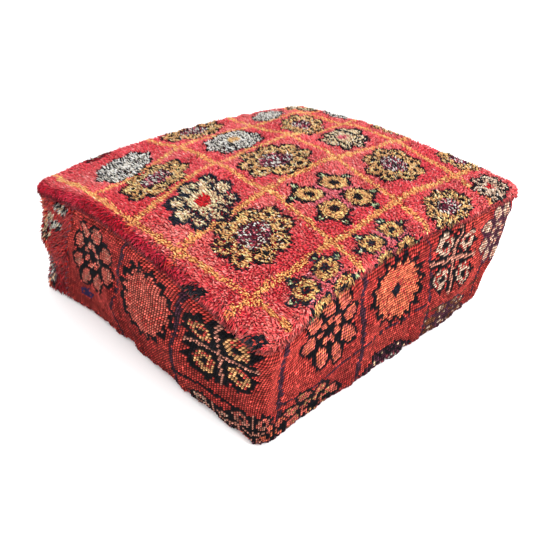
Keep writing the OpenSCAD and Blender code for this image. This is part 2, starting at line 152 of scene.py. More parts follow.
@dataclass
class CushionForm:
    """The stuffed cushion's shape, which every soft piece follows."""

    half_w: float
    half_d: float
    centre_h: float
    seam_h: float = 210.0
    edge_rise: float = 28.0
    crown_power: float = 2.3
    corner_r: float = 30.0
    base_inset: float = 11.0
    belly: float = 1.0
    rim_r: float = 20.0
    rim_shrink: float = -3.0
    rim_lift: float = 9.0
    foot_r: float = 9.0
    tugs: tuple[Tug, ...] = (
        Tug((-300, -325, 0), 110, (1, -24, 0)),
        Tug((-300, 325, 210), 130, (4, 8, 7)),
        Tug((300, -325, 210), 130, (4, 18, -17)),
        Tug((300, -325, 0), 110, (6, 8, 0)),
        Tug((300, 325, 210), 130, (-6, -1, 17)),
        Tug((300, 325, 0), 110, (-13, -40, 0)),
        Tug((300, 0, 238), 170, (-10, -9, 2)),
        Tug((-300, 0, 238), 170, (3, 1, -4)),
        Tug((0, 325, 238), 170, (-2, -1, 1)),
        Tug((0, -325, 238), 170, (-18, -9, 19)),
    )

    @classmethod
    def from_frame(cls) -> "CushionForm":
        """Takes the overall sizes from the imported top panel."""
        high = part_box("top_panel")[1]
        return cls(half_w=high.x / MM, half_d=high.y / MM, centre_h=high.z / MM)

    @property
    def girth(self) -> float:
        """The length round the four sides, as if their corners were square."""
        return 4 * (self.half_w + self.half_d)

    def seam_z(self, share: np.ndarray) -> np.ndarray:
        """Gives the top seam's height at a share of a side's half-length."""
        return self.seam_h + self.edge_rise * (1 - np.clip(share, 0, 1) ** 2)

    def settle(self, points: np.ndarray) -> np.ndarray:
        """Leans and sags the cushion by its tugs.

        Args:
            points: Places before settling.

        Returns:
            The places after it.
        """
        moved = points.copy()
        lift = np.clip(points[..., 2] / 120, 0, 1)
        for tug in self.tugs:
            away = ((points - np.array(tug.at, float)) ** 2).sum(-1)
            share = np.exp(-away / tug.reach**2)
            moved[..., 0] += share * tug.move[0]
            moved[..., 1] += share * tug.move[1]
            moved[..., 2] += share * tug.move[2] * lift
        return moved

    def top(self, x: np.ndarray, y: np.ndarray) -> np.ndarray:
        """Gives the top panel's outer skin, whose rim rolls over the seam.

        Args:
            x: Place across the flat panel; past the half width it is on the rolled rim.
            y: Place along the flat panel.

        Returns:
            The places on the stuffed cushion.
        """
        share_x, share_y = np.abs(x) / self.half_w, np.abs(y) / self.half_d
        rho = np.maximum(np.maximum(share_x, share_y), 1e-6)
        edge_x, edge_y = x / rho, y / rho
        wide = share_x >= share_y
        reach = np.where(wide, self.half_w, self.half_d)
        along = np.where(
            wide,
            np.abs(edge_y) / (self.half_d - self.corner_r),
            np.abs(edge_x) / (self.half_w - self.corner_r),
        )
        depth = (1 - rho) * reach
        turn = np.clip((self.rim_r - depth) / self.rim_r, 0, None)
        inset = np.where(turn > 0, self.rim_r * (1 - np.sin(turn)), depth)
        drop = self.rim_r * (1 - np.cos(turn))
        flat = np.clip(1 - inset / reach, 0, 1)
        pull = self._corner_pull(np.abs(edge_x), np.abs(edge_y))
        scale = flat * (1 - (1 - pull) * flat**6) * (1 - self.rim_shrink / reach * flat**4)
        seam = self.seam_z(along)
        z = self.centre_h + (seam - self.centre_h) * flat**self.crown_power
        z = z + self.rim_lift * flat**10 - drop
        return self.settle(np.stack([edge_x * scale, edge_y * scale, z], -1))

    def _corner_pull(self, x: np.ndarray, y: np.ndarray) -> np.ndarray:
        """Finds how far a ray to the square outline is cut short by the round corner.

        Args:
            x: The ray's end on the square outline, across.
            y: Its end, along.

        Returns:
            The share of the ray that is left.
        """
        mid_x, mid_y = self.half_w - self.corner_r, self.half_d - self.corner_r
        a = x * x + y * y
        b = -2 * (x * mid_x + y * mid_y)
        c = mid_x**2 + mid_y**2 - self.corner_r**2
        k = (-b + np.sqrt(np.maximum(b * b - 4 * a * c, 0))) / (2 * a)
        inside = (k * x > mid_x) & (k * y > mid_y)
        return np.where(inside, np.minimum(k, 1), 1.0)

    def ring(self, s: np.ndarray) -> tuple[np.ndarray, np.ndarray, np.ndarray]:
        """Walks round the outline from the front left corner, along the front.

        Args:
            s: Distance round the sides, as if the corners were square.

        Returns:
            Plan places, outward directions, and the share along each side's straight half.
        """
        w, d, r = self.half_w, self.half_d, self.corner_r
        s = np.mod(s, self.girth)
        starts = np.array([0, 2 * w, 2 * w + 2 * d, 4 * w + 2 * d])
        side = np.searchsorted(starts, s, side="right") - 1
        half = np.where(side % 2 == 0, w, d)
        reach = np.where(side % 2 == 0, d, w)
        along = s - starts[side] - half
        past = np.clip(np.abs(along) - (half - r), 0, r)
        turn = past / r * math.pi / 4
        sign = np.sign(along)
        step = np.where(past > 0, sign * (half - r + r * np.sin(turn)), along)
        out = np.where(past > 0, reach - r + r * np.cos(turn), reach)
        face = np.array([[0, -1], [1, 0], [0, 1], [-1, 0]], float)[side]
        way = np.array([[1, 0], [0, 1], [-1, 0], [0, -1]], float)[side]
        place = face * out[..., None] + way * step[..., None]
        normal = face * np.cos(turn)[..., None] + way * (sign * np.sin(turn))[..., None]
        return place, normal, np.clip(np.abs(along) / (half - r), 0, 1)

    def side(self, s: np.ndarray, t: np.ndarray, inward: float = 0.0) -> np.ndarray:
        """Gives the band's outer skin.

        Args:
            s: Distance round the sides.
            t: Share of the height, 0 at the floor and 1 at the top seam.
            inward: How far inside the skin the point lies.

        Returns:
            The places on the stuffed cushion.
        """
        place, normal, share = self.ring(s)
        seam = self.seam_z(share)
        z = seam * t
        low = np.clip(self.foot_r - z, 0, self.foot_r)
        foot = self.foot_r - np.sqrt(self.foot_r**2 - low**2)
        inset = self.base_inset * (1 - t) - self.belly * 4 * t * (1 - t) + foot + inward
        plan = place - normal * inset[..., None]
        return self.settle(np.concatenate([plan, z[..., None]], -1))


@dataclass
class SideCloth:
    """How the side bands crumple: puckers at the seams, a folded ridge, slow swells."""

    form: CushionForm
    pucker: float = 2.3
    ridge: float = 2.8
    swell: float = 3.4
    wave: float = 5.0
    fine: Lumps = Lumps(11, 26)
    slow: Lumps = Lumps(12, 150)
    creases: Lumps = Lumps(13, 62)
    edge: Lumps = Lumps(14, 95)

    def point(self, s: np.ndarray, t: np.ndarray, inward: float = 0.0) -> np.ndarray:
        """Gives the crumpled skin.

        Args:
            s: Distance round the sides.
            t: Share of the height.
            inward: How far inside the skin the point lies.

        Returns:
            The places.
        """
        _, normal, share = self.form.ring(s)
        seam = self.form.seam_z(share)
        below, above = (1 - t) * seam, t * seam
        line = np.stack([s, 0.12 * above], -1)
        out = self.pucker * self.fine.at(line) * (np.exp(-below / 20) + 0.6 * np.exp(-above / 16))
        out += self.ridge * (np.exp(-(((below - 34) / 9) ** 2)) - 4.2 * np.exp(-below / 14))
        middle = np.clip(4 * t * (1 - t), 0, 1) ** 0.5
        out += self.swell * self.slow.at(np.stack([s, above * 1.6], -1)) * middle * 0.7
        out += 1.1 * self.creases.at(np.stack([s, above * 0.5], -1)) * middle
        points = self.form.side(s, t, inward)
        points[..., :2] += normal * out[..., None]
        lift = self.wave * (0.5 + 0.5 * self.edge.at(s[..., None])) * np.exp(-above / 12)
        points[..., 2] = np.maximum(points[..., 2] + lift, 0.2)
        return points


@dataclass
class TopCloth:
    """How the top panel crumples: seam puckers at the rim and slow lumps of the stuffing."""

    form: CushionForm
    pucker: float = 1.3
    swell: float = 2.4
    fine: Lumps = Lumps(21, 34)
    slow: Lumps = Lumps(22, 130)

    def point(self, x: np.ndarray, y: np.ndarray) -> np.ndarray:
        """Gives the crumpled skin.

        Args:
            x: Place across the flat panel.
            y: Place along the flat panel.

        Returns:
            The places.
        """
        points = self.form.top(x, y)
        depth = np.minimum(self.form.half_w - np.abs(x), self.form.half_d - np.abs(y))
        flat = np.stack([x, y], -1)
        middle = np.clip(depth / 90, 0, 1)
        lift = self.swell * self.slow.at(flat) * middle
        lift += self.pucker * self.fine.at(flat) * np.exp(-np.abs(depth) / 16)
        points[..., 2] += lift - self.swell * middle
        return points


def frames(surface: Surface, u: np.ndarray, v: np.ndarray) -> tuple[np.ndarray, ...]:
    """Measures a surface's points and directions.

    Args:
        surface: The surface.
        u: First coordinates.
        v: Second coordinates.

    Returns:
        Points, unit normals (u cross v), unit u directions and unit v directions.
    """
    step = 1.0
    at = surface(u, v)
    du = surface(u + step, v) - surface(u - step, v)
    dv = surface(u, v + step) - surface(u, v - step)
    normal = np.cross(du, dv)
    return (at, *(unit(a) for a in (normal, du, dv)))


def unit(a: np.ndarray) -> np.ndarray:
    """Gives vectors of length 1."""
    return a / np.maximum(np.linalg.norm(a, axis=-1, keepdims=True), 1e-9)


# ---- Weaving charts ----


class Kind(Enum):
    """The woven figures."""

    ROSETTE = "rosette"
    STAR = "star"
    QUAD = "quad"
    CROSS = "cross"
    SPECKLE = "speckle"
    BLOOM = "bloom"
    DAISY = "daisy"


@dataclass(frozen=True)
class Spots:
    """Knots seen from a figure's middle, in shares of its half-size."""

    a: np.ndarray
    b: np.ndarray
    radius: np.ndarray
    angle: np.ndarray
    chance: np.ndarray

    def petal_gap(self, count: int, ring: float, first: float) -> np.ndarray:
        """Measures how far each knot is from the nearest of a ring of petals.

        Args:
            count: How many petals there are.
            ring: Their distance from the middle.
            first: The first petal's turn.

        Returns:
            The distances.
        """
        turns = first + np.arange(count) * 2 * math.pi / count
        gaps = [np.hypot(self.a - ring * math.cos(t), self.b - ring * math.sin(t)) for t in turns]
        return np.min(gaps, axis=0)


Layers = list[tuple[np.ndarray, Dye]]


@dataclass(frozen=True)
class Figure:
    """One woven figure on a panel's chart."""

    kind: Kind
    at: tuple[float, float]
    half: tuple[float, float]
    lean: float = 0.0
    fill: Dye = Dye.GOLD
    edge: Dye = Dye.INK
    core: Dye = Dye.PLUM
    outline: float = 1.0
    tilt: float = 0.0

    def paint(self, u: np.ndarray, v: np.ndarray, chance: np.ndarray) -> np.ndarray:
        """Picks the figure's dyes.

        Args:
            u: Places across the chart.
            v: Places up the chart.
            chance: A random share for each knot.

        Returns:
            Dye numbers, and -1 where the figure leaves the ground.
        """
        b = (v - self.at[1] - self.tilt * (u - self.at[0])) / self.half[1]
        a = (u - self.at[0] - self.lean * (v - self.at[1])) / self.half[0]
        radius, angle = np.hypot(a, b), np.arctan2(b, a)
        near = radius < 1.5
        picked = np.full(int(near.sum()), -1)
        spots = Spots(a[near], b[near], radius[near], angle[near], chance[near])
        for mask, dye in self._layers(spots):
            picked[mask] = NUMBER[dye]
        dyes = np.full(u.shape, -1)
        dyes[near] = picked
        return dyes

    def _layers(self, spots: Spots) -> Layers:
        """Draws the figure in its own kind.

        Args:
            spots: The knots near it.

        Returns:
            Masks and their dyes, each laid over the ones before.
        """
        painters: dict[Kind, Callable[[Spots], Layers]] = {
            Kind.ROSETTE: self._rosette,
            Kind.STAR: self._star,
            Kind.QUAD: self._quad,
            Kind.CROSS: self._cross,
            Kind.SPECKLE: self._speckle,
            Kind.BLOOM: self._bloom,
            Kind.DAISY: self._daisy,
        }
        return painters[self.kind](spots)

    def _rosette(self, spots: Spots) -> Layers:
        """Draws two rings of packed petals, each outlined.

        Args:
            spots: The knots near it.

        Returns:
            Masks and their dyes.
        """
        a, b, chance = spots.a, spots.b, spots.chance
        outer, inner = np.full(len(a), 9.0), np.full(len(a), 9.0)
        for turn in math.pi / 8 + np.arange(8) * math.pi / 4:
            outward = a * math.cos(turn) + b * math.sin(turn)
            across = b * math.cos(turn) - a * math.sin(turn)
            outer = np.minimum(outer, np.hypot((outward - 0.72) / 0.23, across / 0.2))
            inner = np.minimum(inner, np.hypot((outward - 0.31) / 0.12, across / 0.085))
        return [
            (outer < 1.4, self.edge),
            (spots.radius < 0.6, self.edge),
            (inner < 1, self.fill),
            ((inner < 1) & (chance < 0.4), self.core),
            (outer < 0.98, self.fill),
            ((outer < 0.9) & (chance < 0.28), self.core),
        ]

    def _star(self, spots: Spots) -> Layers:
        """Draws a plain round with a toothed outline and a small lozenge in its middle.

        Args:
            spots: The knots near it.

        Returns:
            Masks and their dyes.
        """
        tooth = np.abs(((spots.angle * 16 / (2 * math.pi) + 0.3) % 1) - 0.5) * 2
        inside = spots.radius < 0.68 + 0.16 * tooth
        layers = [
            (spots.radius < 0.8 + 0.22 * tooth, self.edge),
            (inside, self.fill),
            (inside & (spots.chance < 0.2), Dye.BRICK_LIGHT),
        ]
        if self.core is not self.fill:
            layers.append((np.abs(spots.a) * 1.2 + np.abs(spots.b) * 0.85 < 0.2, self.core))
        return layers

    def _cross(self, spots: Spots) -> Layers:
        """Draws four ringed lobes parted by a double-lined cross, with dark leaf points outside.

        Args:
            spots: The knots near it.

        Returns:
            Masks and their dyes.
        """
        x, y = np.abs(spots.a), np.abs(spots.b)
        gap = np.hypot(x - 0.42, y - 0.42)
        points = np.minimum(
            np.abs(x - 0.36) + np.abs(y - 0.8) * 0.7,
            np.abs(y - 0.36) + np.abs(x - 0.8) * 0.7,
        )
        arm, far = np.minimum(x, y), np.maximum(x, y)
        lobe = (gap < 0.28) & (gap > 0.1)
        return [
            (points < 0.12 * self.outline, self.edge),
            (gap < 0.28 + 0.12 * self.outline, self.edge),
            ((arm < 0.045 + 0.125 * self.outline) & (far < 0.88), self.edge),
            ((arm < 0.045) & (far < 0.9), Dye.ROSE),
            (lobe, self.fill),
            (lobe & (spots.chance < 0.35), self.core),
        ]

    def _quad(self, spots: Spots) -> Layers:
        """Draws four ringed rounds, with leaf tips outside and a cross between.

        Args:
            spots: The knots near it.

        Returns:
            Masks and their dyes.
        """
        x, y = np.abs(spots.a), np.abs(spots.b)
        gap = np.hypot(x - 0.44, y - 0.44)
        leaf = np.minimum(
            np.hypot(x - 0.92, (y - 0.5) * 1.5),
            np.hypot((x - 0.5) * 1.5, y - 0.92),
        )
        return [
            (leaf < 0.22, self.edge),
            (leaf < 0.11, Dye.LEAF),
            (gap < 0.46, self.edge),
            (((x < 0.07) | (y < 0.07)) & (spots.radius < 0.8), Dye.PINK),
            (gap < 0.35, self.fill),
            (gap < 0.14, self.core),
        ]

    def _speckle(self, spots: Spots) -> Layers:
        """Draws a round of light and dark strokes.

        Args:
            spots: The knots near it.

        Returns:
            Masks and their dyes.
        """
        rim = 0.93 + 0.07 * np.cos(8 * spots.angle)
        return [
            (spots.radius < rim, self.edge),
            ((spots.radius < rim - 0.08) & (spots.chance < 0.6), Dye.WHITE),
            (spots.radius < 0.2, self.core),
        ]

    def _bloom(self, spots: Spots) -> Layers:
        """Draws eight dark-eyed lobes round a mixed middle.

        Args:
            spots: The knots near it.

        Returns:
            Masks and their dyes.
        """
        gap = spots.petal_gap(8, 0.7, math.pi / 8)
        chance, lobe, inner = spots.chance, gap < 0.26, spots.radius < 0.44
        return [
            (gap < 0.34, self.edge),
            (spots.radius < 0.55, self.edge),
            (lobe, self.fill),
            (lobe & (chance < 0.13), Dye.CREAM),
            (lobe & (chance > 0.84), self.edge),
            (gap < 0.08, self.edge),
            (inner, self.core),
            (inner & (chance < 0.26), Dye.WHITE),
            (inner & (chance > 0.84), Dye.INK),
            (inner & (chance > 0.55) & (chance < 0.66), Dye.PINK),
        ]

    def _daisy(self, spots: Spots) -> Layers:
        """Draws eight broad pale petals with dark lines between.

        Args:
            spots: The knots near it.

        Returns:
            Masks and their dyes.
        """
        wave = np.abs(np.cos(4 * spots.angle))
        rim = 0.68 + 0.3 * wave**0.6
        inside = spots.radius < rim - 0.15
        petal = inside & (wave > 0.3)
        return [
            (spots.radius < rim, self.edge),
            (petal, self.fill),
            (petal & (spots.chance < 0.1), self.edge),
            (inside & (np.sin(spots.b * 15 + 1) > 0.78), self.edge),
            (spots.radius < 0.34, self.fill),
            (spots.radius < 0.19, self.core),
        ]


@dataclass(frozen=True)
class Stripe:
    """One line of the woven lattice."""

    points: tuple[tuple[float, float], ...]
    width: float
    dye: Dye
    faded: Dye = Dye.ORANGE

    def covers(self, u: np.ndarray, v: np.ndarray) -> np.ndarray:
        """Says which places the line covers.

        Args:
            u: Places across the chart.
            v: Places up the chart.

        Returns:
            A mask.
        """
        best = np.full(u.shape, np.inf)
        for (x0, y0), (x1, y1) in zip(self.points, self.points[1:]):
            dx, dy = x1 - x0, y1 - y0
            share = np.clip(((u - x0) * dx + (v - y0) * dy) / (dx * dx + dy * dy), 0, 1)
            best = np.minimum(best, np.hypot(u - x0 - share * dx, v - y0 - share * dy))
        return best < self.width / 2


@dataclass(frozen=True)
class Chart:
    """A panel's weaving chart: its ground, its lattice and its figures."""

    ground: tuple[Dye, Dye]
    stripes: tuple[Stripe, ...]
    figures: tuple[Figure, ...]
    seed: int
    # Real wear: the share of stripe knots that are left out.
    wear_and_shade: float = 0.05
    depth: float = 0.84
    uneven: float = 0.42
    ragged: float = 1.7

    def weave(self, u: np.ndarray, v: np.ndarray) -> np.ndarray:
        """Dyes a set of knots.

        Args:
            u: Places across the chart.
            v: Places up the chart.

        Returns:
            Linear colours, one for each knot.
        """
        draw = np.random.default_rng(self.seed)
        chance = draw.random(u.shape)
        drift = Lumps(self.seed + 1, 170).at(np.stack([u, v * 0.35], -1))
        mix = np.clip(0.42 + 0.2 * drift + draw.normal(0, 0.38, u.shape), 0, 1)[..., None]
        first, second = (PALETTE[NUMBER[dye]] for dye in self.ground)
        colour = first * (1 - mix) + second * mix
        edge_u = u + draw.normal(0, self.ragged, u.shape)
        edge_v = v + draw.normal(0, self.ragged, u.shape)
        for stripe in self.stripes:
            on = stripe.covers(edge_u, edge_v) & (chance > self.wear_and_shade)
            tint = PALETTE[NUMBER[stripe.dye]]
            colour[on] = tint + (PALETTE[NUMBER[stripe.faded]] - tint) * (chance[on, None] * 0.6)
        for figure in self.figures:
            dyes = figure.paint(edge_u, edge_v, chance)
            on = dyes >= 0
            colour[on] = PALETTE[dyes[on]]
        shade = np.exp(draw.normal(0, self.uneven, u.shape))[..., None]
        return colour * shade * self.depth


TOP_CHART = Chart(
    ground=(Dye.CORAL, Dye.CORAL_LIGHT),
    seed=31,
    stripes=tuple(
        Stripe(points, width, Dye.AMBER, Dye.AMBER)
        for width, points in (
            (10.5, ((-300, -289), (-100, -301), (0, -306), (100, -300), (200, -283), (300, -275))),
            (11.5, ((-300, -92), (-200, -82), (0, -88), (100, -91), (150, -99), (300, -114))),
            (11.5, ((-300, 108), (-150, 113), (-50, 106), (50, 97), (130, 84), (300, 46))),
            (11.5, ((-300, 262), (-60, 272), (60, 272), (200, 240), (300, 214))),
            (10.5, ((-214, 300), (-206, 60), (-209, -20), (-192, -90), (-150, -180), (-95, -292))),
            (10.5, ((-102, 325), (-96, 180), (-93, 0), (-68, -100), (-20, -200), (45, -325))),
            (11.5, ((42, 325), (38, 150), (45, 0), (75, -130), (105, -240), (132, -325))),
            (12.5, ((200, 325), (206, 180), (216, 60), (235, -70), (234, -200), (231, -325))),
        )
    ),
    figures=(
        Figure(Kind.SPECKLE, (-190, -198), (50, 72), -0.5, core=Dye.WHITE),
        Figure(Kind.BLOOM, (-85, -196), (54, 76), -0.5),
        Figure(Kind.DAISY, (39, -190), (60, 78), -0.42, Dye.CREAM, Dye.NAVY, Dye.RED),
        Figure(Kind.BLOOM, (150, -186), (55, 74), -0.2),
        Figure(Kind.QUAD, (290, -185), (48, 60), -0.1, core=Dye.NAVY, edge=Dye.NAVY),
        Figure(Kind.BLOOM, (-300, -190), (26, 44), -0.3, Dye.CRIMSON, core=Dye.CREAM),
        Figure(Kind.BLOOM, (-264, 0), (46, 74), -0.1, Dye.GOLD),
        Figure(Kind.SPECKLE, (-152, 14), (54, 76), -0.15, core=Dye.GOLD),
        Figure(Kind.BLOOM, (-20, 4), (64, 76), -0.1),
        Figure(Kind.QUAD, (143, -10), (66, 72), -0.08, core=Dye.INK),
        Figure(Kind.QUAD, (294, -34), (50, 60), -0.1, core=Dye.NAVY, edge=Dye.NAVY),
        Figure(Kind.SPECKLE, (-246, 186), (34, 52), -0.3, core=Dye.WHITE),
        Figure(Kind.BLOOM, (-146, 192), (50, 66), -0.35, Dye.GOLD),
        Figure(Kind.DAISY, (-28, 192), (58, 66), -0.25, Dye.CREAM, Dye.INK, Dye.PINK),
        Figure(Kind.BLOOM, (116, 172), (62, 72), -0.25),
        Figure(Kind.BLOOM, (270, 130), (42, 64), -0.35),
        Figure(Kind.DAISY, (268, 256), (42, 48), -0.3, Dye.PALE, Dye.INK, Dye.RED),
        Figure(Kind.BLOOM, (165, 308), (50, 40), -0.2, Dye.GOLD),
        Figure(Kind.BLOOM, (-20, 322), (52, 30), 0.0, Dye.GOLD),
        Figure(Kind.SPECKLE, (-160, 322), (50, 32), 0.0, core=Dye.GOLD),
        Figure(Kind.DAISY, (-268, 300), (50, 40), 0.0, Dye.CREAM, Dye.INK, Dye.RED),
        Figure(Kind.STAR, (176, -336), (15, 22), 0.6, Dye.NAVY, core=Dye.NAVY),
        Figure(Kind.STAR, (284, -330), (20, 14), 0.6, Dye.NAVY, core=Dye.NAVY),
    ),
)

FRONT_CHART = Chart(
    ground=(Dye.BRICK, Dye.BRICK_LIGHT),
    seed=41,
    wear_and_shade=0.04,
    depth=0.54,
    uneven=0.36,
    ragged=1.0,
    stripes=(
        Stripe(((348, 225), (300, 150), (262, 95), (240, 60), (252, 0)), 6, Dye.MAUVE, Dye.NAVY),
        Stripe(((470, 240), (432, 145), (412, 75), (408, 0)), 10, Dye.MAUVE, Dye.NAVY),
        Stripe(((648, 240), (642, 120), (652, 0)), 10, Dye.MAUVE, Dye.NAVY),
        Stripe(((822, 240), (838, 80), (832, 0)), 11, Dye.MAUVE, Dye.NAVY),
        Stripe(((975, 240), (1000, 140), (1012, 70), (1010, 0)), 6, Dye.MAUVE, Dye.NAVY),
        Stripe(((1190, 225), (1180, 100), (1196, 0)), 8, Dye.MAUVE, Dye.NAVY),
        Stripe(((400, 34), (470, 52), (560, 60)), 6, Dye.INK, Dye.NAVY),
        Stripe(((640, 78), (730, 72), (850, 74), (1000, 84)), 5, Dye.MAUVE, Dye.NAVY),
        Stripe(((1000, 66), (1100, 46), (1200, 62)), 5, Dye.BROWN, Dye.NAVY),
    ),
    figures=(
        Figure(Kind.ROSETTE, (203, 138), (72, 74), 0.45, Dye.SALMON, Dye.INK, Dye.ROSE),
        Figure(Kind.STAR, (360, 128), (66, 80), 0.42, Dye.SALMON, Dye.INK, Dye.SALMON),
        Figure(Kind.CROSS, (518, 152), (84, 72), 0.0, Dye.GOLD, Dye.INK, Dye.BRICK_LIGHT, tilt=0.42),
        Figure(Kind.CROSS, (496, 2), (60, 40), 0.0, Dye.ROSE, Dye.INK, Dye.PALE),
        Figure(Kind.CROSS, (578, 26), (62, 54), 0.1, Dye.ROSE, Dye.INK, Dye.SALMON, tilt=0.2),
        Figure(Kind.ROSETTE, (640, 6), (44, 46), 0.0, Dye.SALMON, Dye.INK, Dye.ORANGE),
        Figure(Kind.ROSETTE, (752, 164), (70, 74), 0.05, Dye.SALMON, Dye.INK, Dye.ORANGE, tilt=-0.35),
        Figure(Kind.STAR, (917, 148), (70, 72), 0.0, Dye.ORANGE, Dye.INK, Dye.NAVY, tilt=-0.25),
        Figure(Kind.CROSS, (1064, 150), (80, 78), 0.0, Dye.PALE, Dye.INK, Dye.BRICK, tilt=-0.2, outline=0.5),
        Figure(Kind.ROSETTE, (1196, 160), (52, 66), -0.1, Dye.PALE, Dye.MAUVE, Dye.ROSE),
        Figure(Kind.ROSETTE, (728, 20), (70, 52), -0.2, Dye.SALMON, Dye.INK, Dye.GOLD, tilt=-0.2),
        Figure(Kind.BLOOM, (910, 2), (66, 36), 0.0, Dye.MAUVE),
        Figure(Kind.ROSETTE, (1080, 22), (80, 38), 0.0, Dye.BROWN, Dye.MAUVE, Dye.PALE),
        Figure(Kind.ROSETTE, (1300, 150), (60, 66), 0.0, Dye.SALMON, Dye.INK, Dye.ROSE),
        Figure(Kind.STAR, (146, 46), (20, 13), 0.5, Dye.VIOLET, Dye.VIOLET, Dye.VIOLET),
    ),
)

REAR_CHART = Chart(
    ground=(Dye.CRIMSON, Dye.SCARLET),
    seed=51,
    depth=0.55,
    stripes=(
        *(
            Stripe(((x, 240), (x + 8, 120), (x - 4, 0)), 8, Dye.ORANGE)
            for x in (1420, 1610, 1790, 1980, 2180, 2380, 2523)
        ),
        Stripe(((1300, 30), (1900, 24), (2450, 34)), 9, Dye.ORANGE),
    ),
    figures=(
        Figure(Kind.BLOOM, (1350, 140), (52, 70)),
        Figure(Kind.DAISY, (1515, 136), (66, 72), 0.0, Dye.CREAM, Dye.NAVY, Dye.RED),
        Figure(Kind.SPECKLE, (1700, 140), (62, 70), core=Dye.GOLD),
        Figure(Kind.BLOOM, (1880, 138), (62, 70)),
        Figure(Kind.QUAD, (2080, 138), (70, 70), core=Dye.NAVY),
        Figure(Kind.DAISY, (2280, 140), (66, 70), 0.0, Dye.CREAM, Dye.NAVY, Dye.PINK),
        Figure(Kind.BLOOM, (2450, 140), (48, 66)),
        Figure(Kind.SPECKLE, (2606, 208), (34, 12), 0.2, edge=Dye.INK, core=Dye.CREAM),
        Figure(Kind.BLOOM, (2540, 160), (17, 36), 0.4, Dye.CREAM, core=Dye.CRIMSON),
        Figure(Kind.BLOOM, (2532, 56), (15, 38), 0.0, Dye.GREY, core=Dye.CRIMSON),
        Figure(Kind.SPECKLE, (2572, 166), (24, 12), 0.4, core=Dye.CREAM),
    ),
)


# ---- Meshes ----


def rows_of_faces(rows: int, cols: int) -> list[Face]:
    """Joins a grid of points into faces.

    Args:
        rows: Rows of points.
        cols: Points in a row.

    Returns:
        The faces.
    """
    i, j = np.meshgrid(np.arange(rows - 1), np.arange(cols - 1), indexing="ij")
    k = i + 1
    quads = np.stack([i * cols + j, i * cols + j + 1, k * cols + j + 1, k * cols + j], -1)
    return [tuple(q) for q in quads.reshape(-1, 4).tolist()]


def closed_sheet(upper: np.ndarray, lower: np.ndarray) -> tuple[np.ndarray, list[Face]]:
    """Joins two grids of points, one over the other, into one closed sheet.

    Args:
        upper: The first grid.
        lower: The second grid, of the same size.

    Returns:
        Points and faces.
    """
    size = upper.shape[0] * upper.shape[1]
    points = np.concatenate([upper.reshape(-1, 3), lower.reshape(-1, 3)])
    faces = rows_of_faces(*upper.shape[:2])
    faces += [tuple(k + size for k in reversed(face)) for face in faces]
    grid = np.arange(size).reshape(upper.shape[:2])
    loop = np.concatenate([grid[0, :-1], grid[:-1, -1], grid[-1, :0:-1], grid[:0:-1, 0]])
    for a, b in zip(loop, np.roll(loop, -1)):
        faces.append((int(b), int(a), int(a) + size, int(b) + size))
    return points, faces


def closed_strip(skin: np.ndarray, inner: np.ndarray) -> tuple[np.ndarray, list[Face]]:
    """Joins a strip's skin and inner side into loops, and closes its two ends.

    Args:
        skin: A grid of points, one row for each place along the strip.
        inner: The inner side's grid, with as many rows.

    Returns:
        Points and faces.
    """
    loops = np.concatenate([skin, inner], 1)
    count, around = loops.shape[:2]
    i, j = np.meshgrid(np.arange(count - 1), np.arange(around), indexing="ij")
    k = (j + 1) % around
    quads = np.stack([i * around + j, (i + 1) * around + j, (i + 1) * around + k, i * around + k], -1)
    faces = [tuple(q[::-1]) for q in quads.reshape(-1, 4).tolist()]
    faces.append(tuple(range(around)))
    faces.append(tuple(reversed(range((count - 1) * around, count * around))))
    return loops.reshape(-1, 3), faces


def dress_node(node: str, material: bpy.types.Material) -> None:
    """Gives a kept CAD node its finish.

    Args:
        node: The node's name.
        material: Its finish.
    """
    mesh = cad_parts[node].data
    mesh.materials.clear()
    mesh.materials.append(material)
    LOG.info("%s: dressed", node)


def make_piece(
    name: str,
    points: np.ndarray,
    faces: Sequence[Sequence[int]],
    material: bpy.types.Material,
    replaced: Sequence[str],
    colours: Optional[np.ndarray] = None,
    cloth: Optional[np.ndarray] = None,
) -> bpy.types.Object:
    """Makes one piece and puts it on the cushion.

    Args:
        name: The piece's name.
        points: Its points, in millimetres.
        faces: Its faces.
        material: Its finish.
        replaced: The CAD nodes that it stands for.
        colours: A linear colour for each point, or None.
        cloth: The flat cloth's coordinates for each point, in millimetres, or None.

    Returns:
        The object.
    """
    mesh = bpy.data.meshes.new(name)
    mesh.from_pydata((points * MM).tolist(), [], faces)
    mesh.validate()
    mesh.update()
    if colours is not None:
        layer = mesh.color_attributes.new("dye", "FLOAT_COLOR", "POINT")
        full = np.ones((len(points), 4), np.float32)
        full[:, :3] = colours
        layer.data.foreach_set("color", full.ravel())
    if cloth is not None:
        corners = np.zeros(len(mesh.loops), np.int32)
        mesh.loops.foreach_get("vertex_index", corners)
        layer = mesh.uv_layers.new(name="cloth")
        layer.data.foreach_set("uv", (cloth[corners] * MM).astype(np.float32).ravel())
    mesh.shade_smooth()
    mesh.materials.append(material)
    piece = bpy.data.objects.new(name, mesh)
    bpy.context.scene.collection.objects.link(piece)
    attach(piece, "cushion")
    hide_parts(*replaced)
    LOG.info("%s: %d points, %d faces", name, len(points), len(mesh.polygons))
    return piece


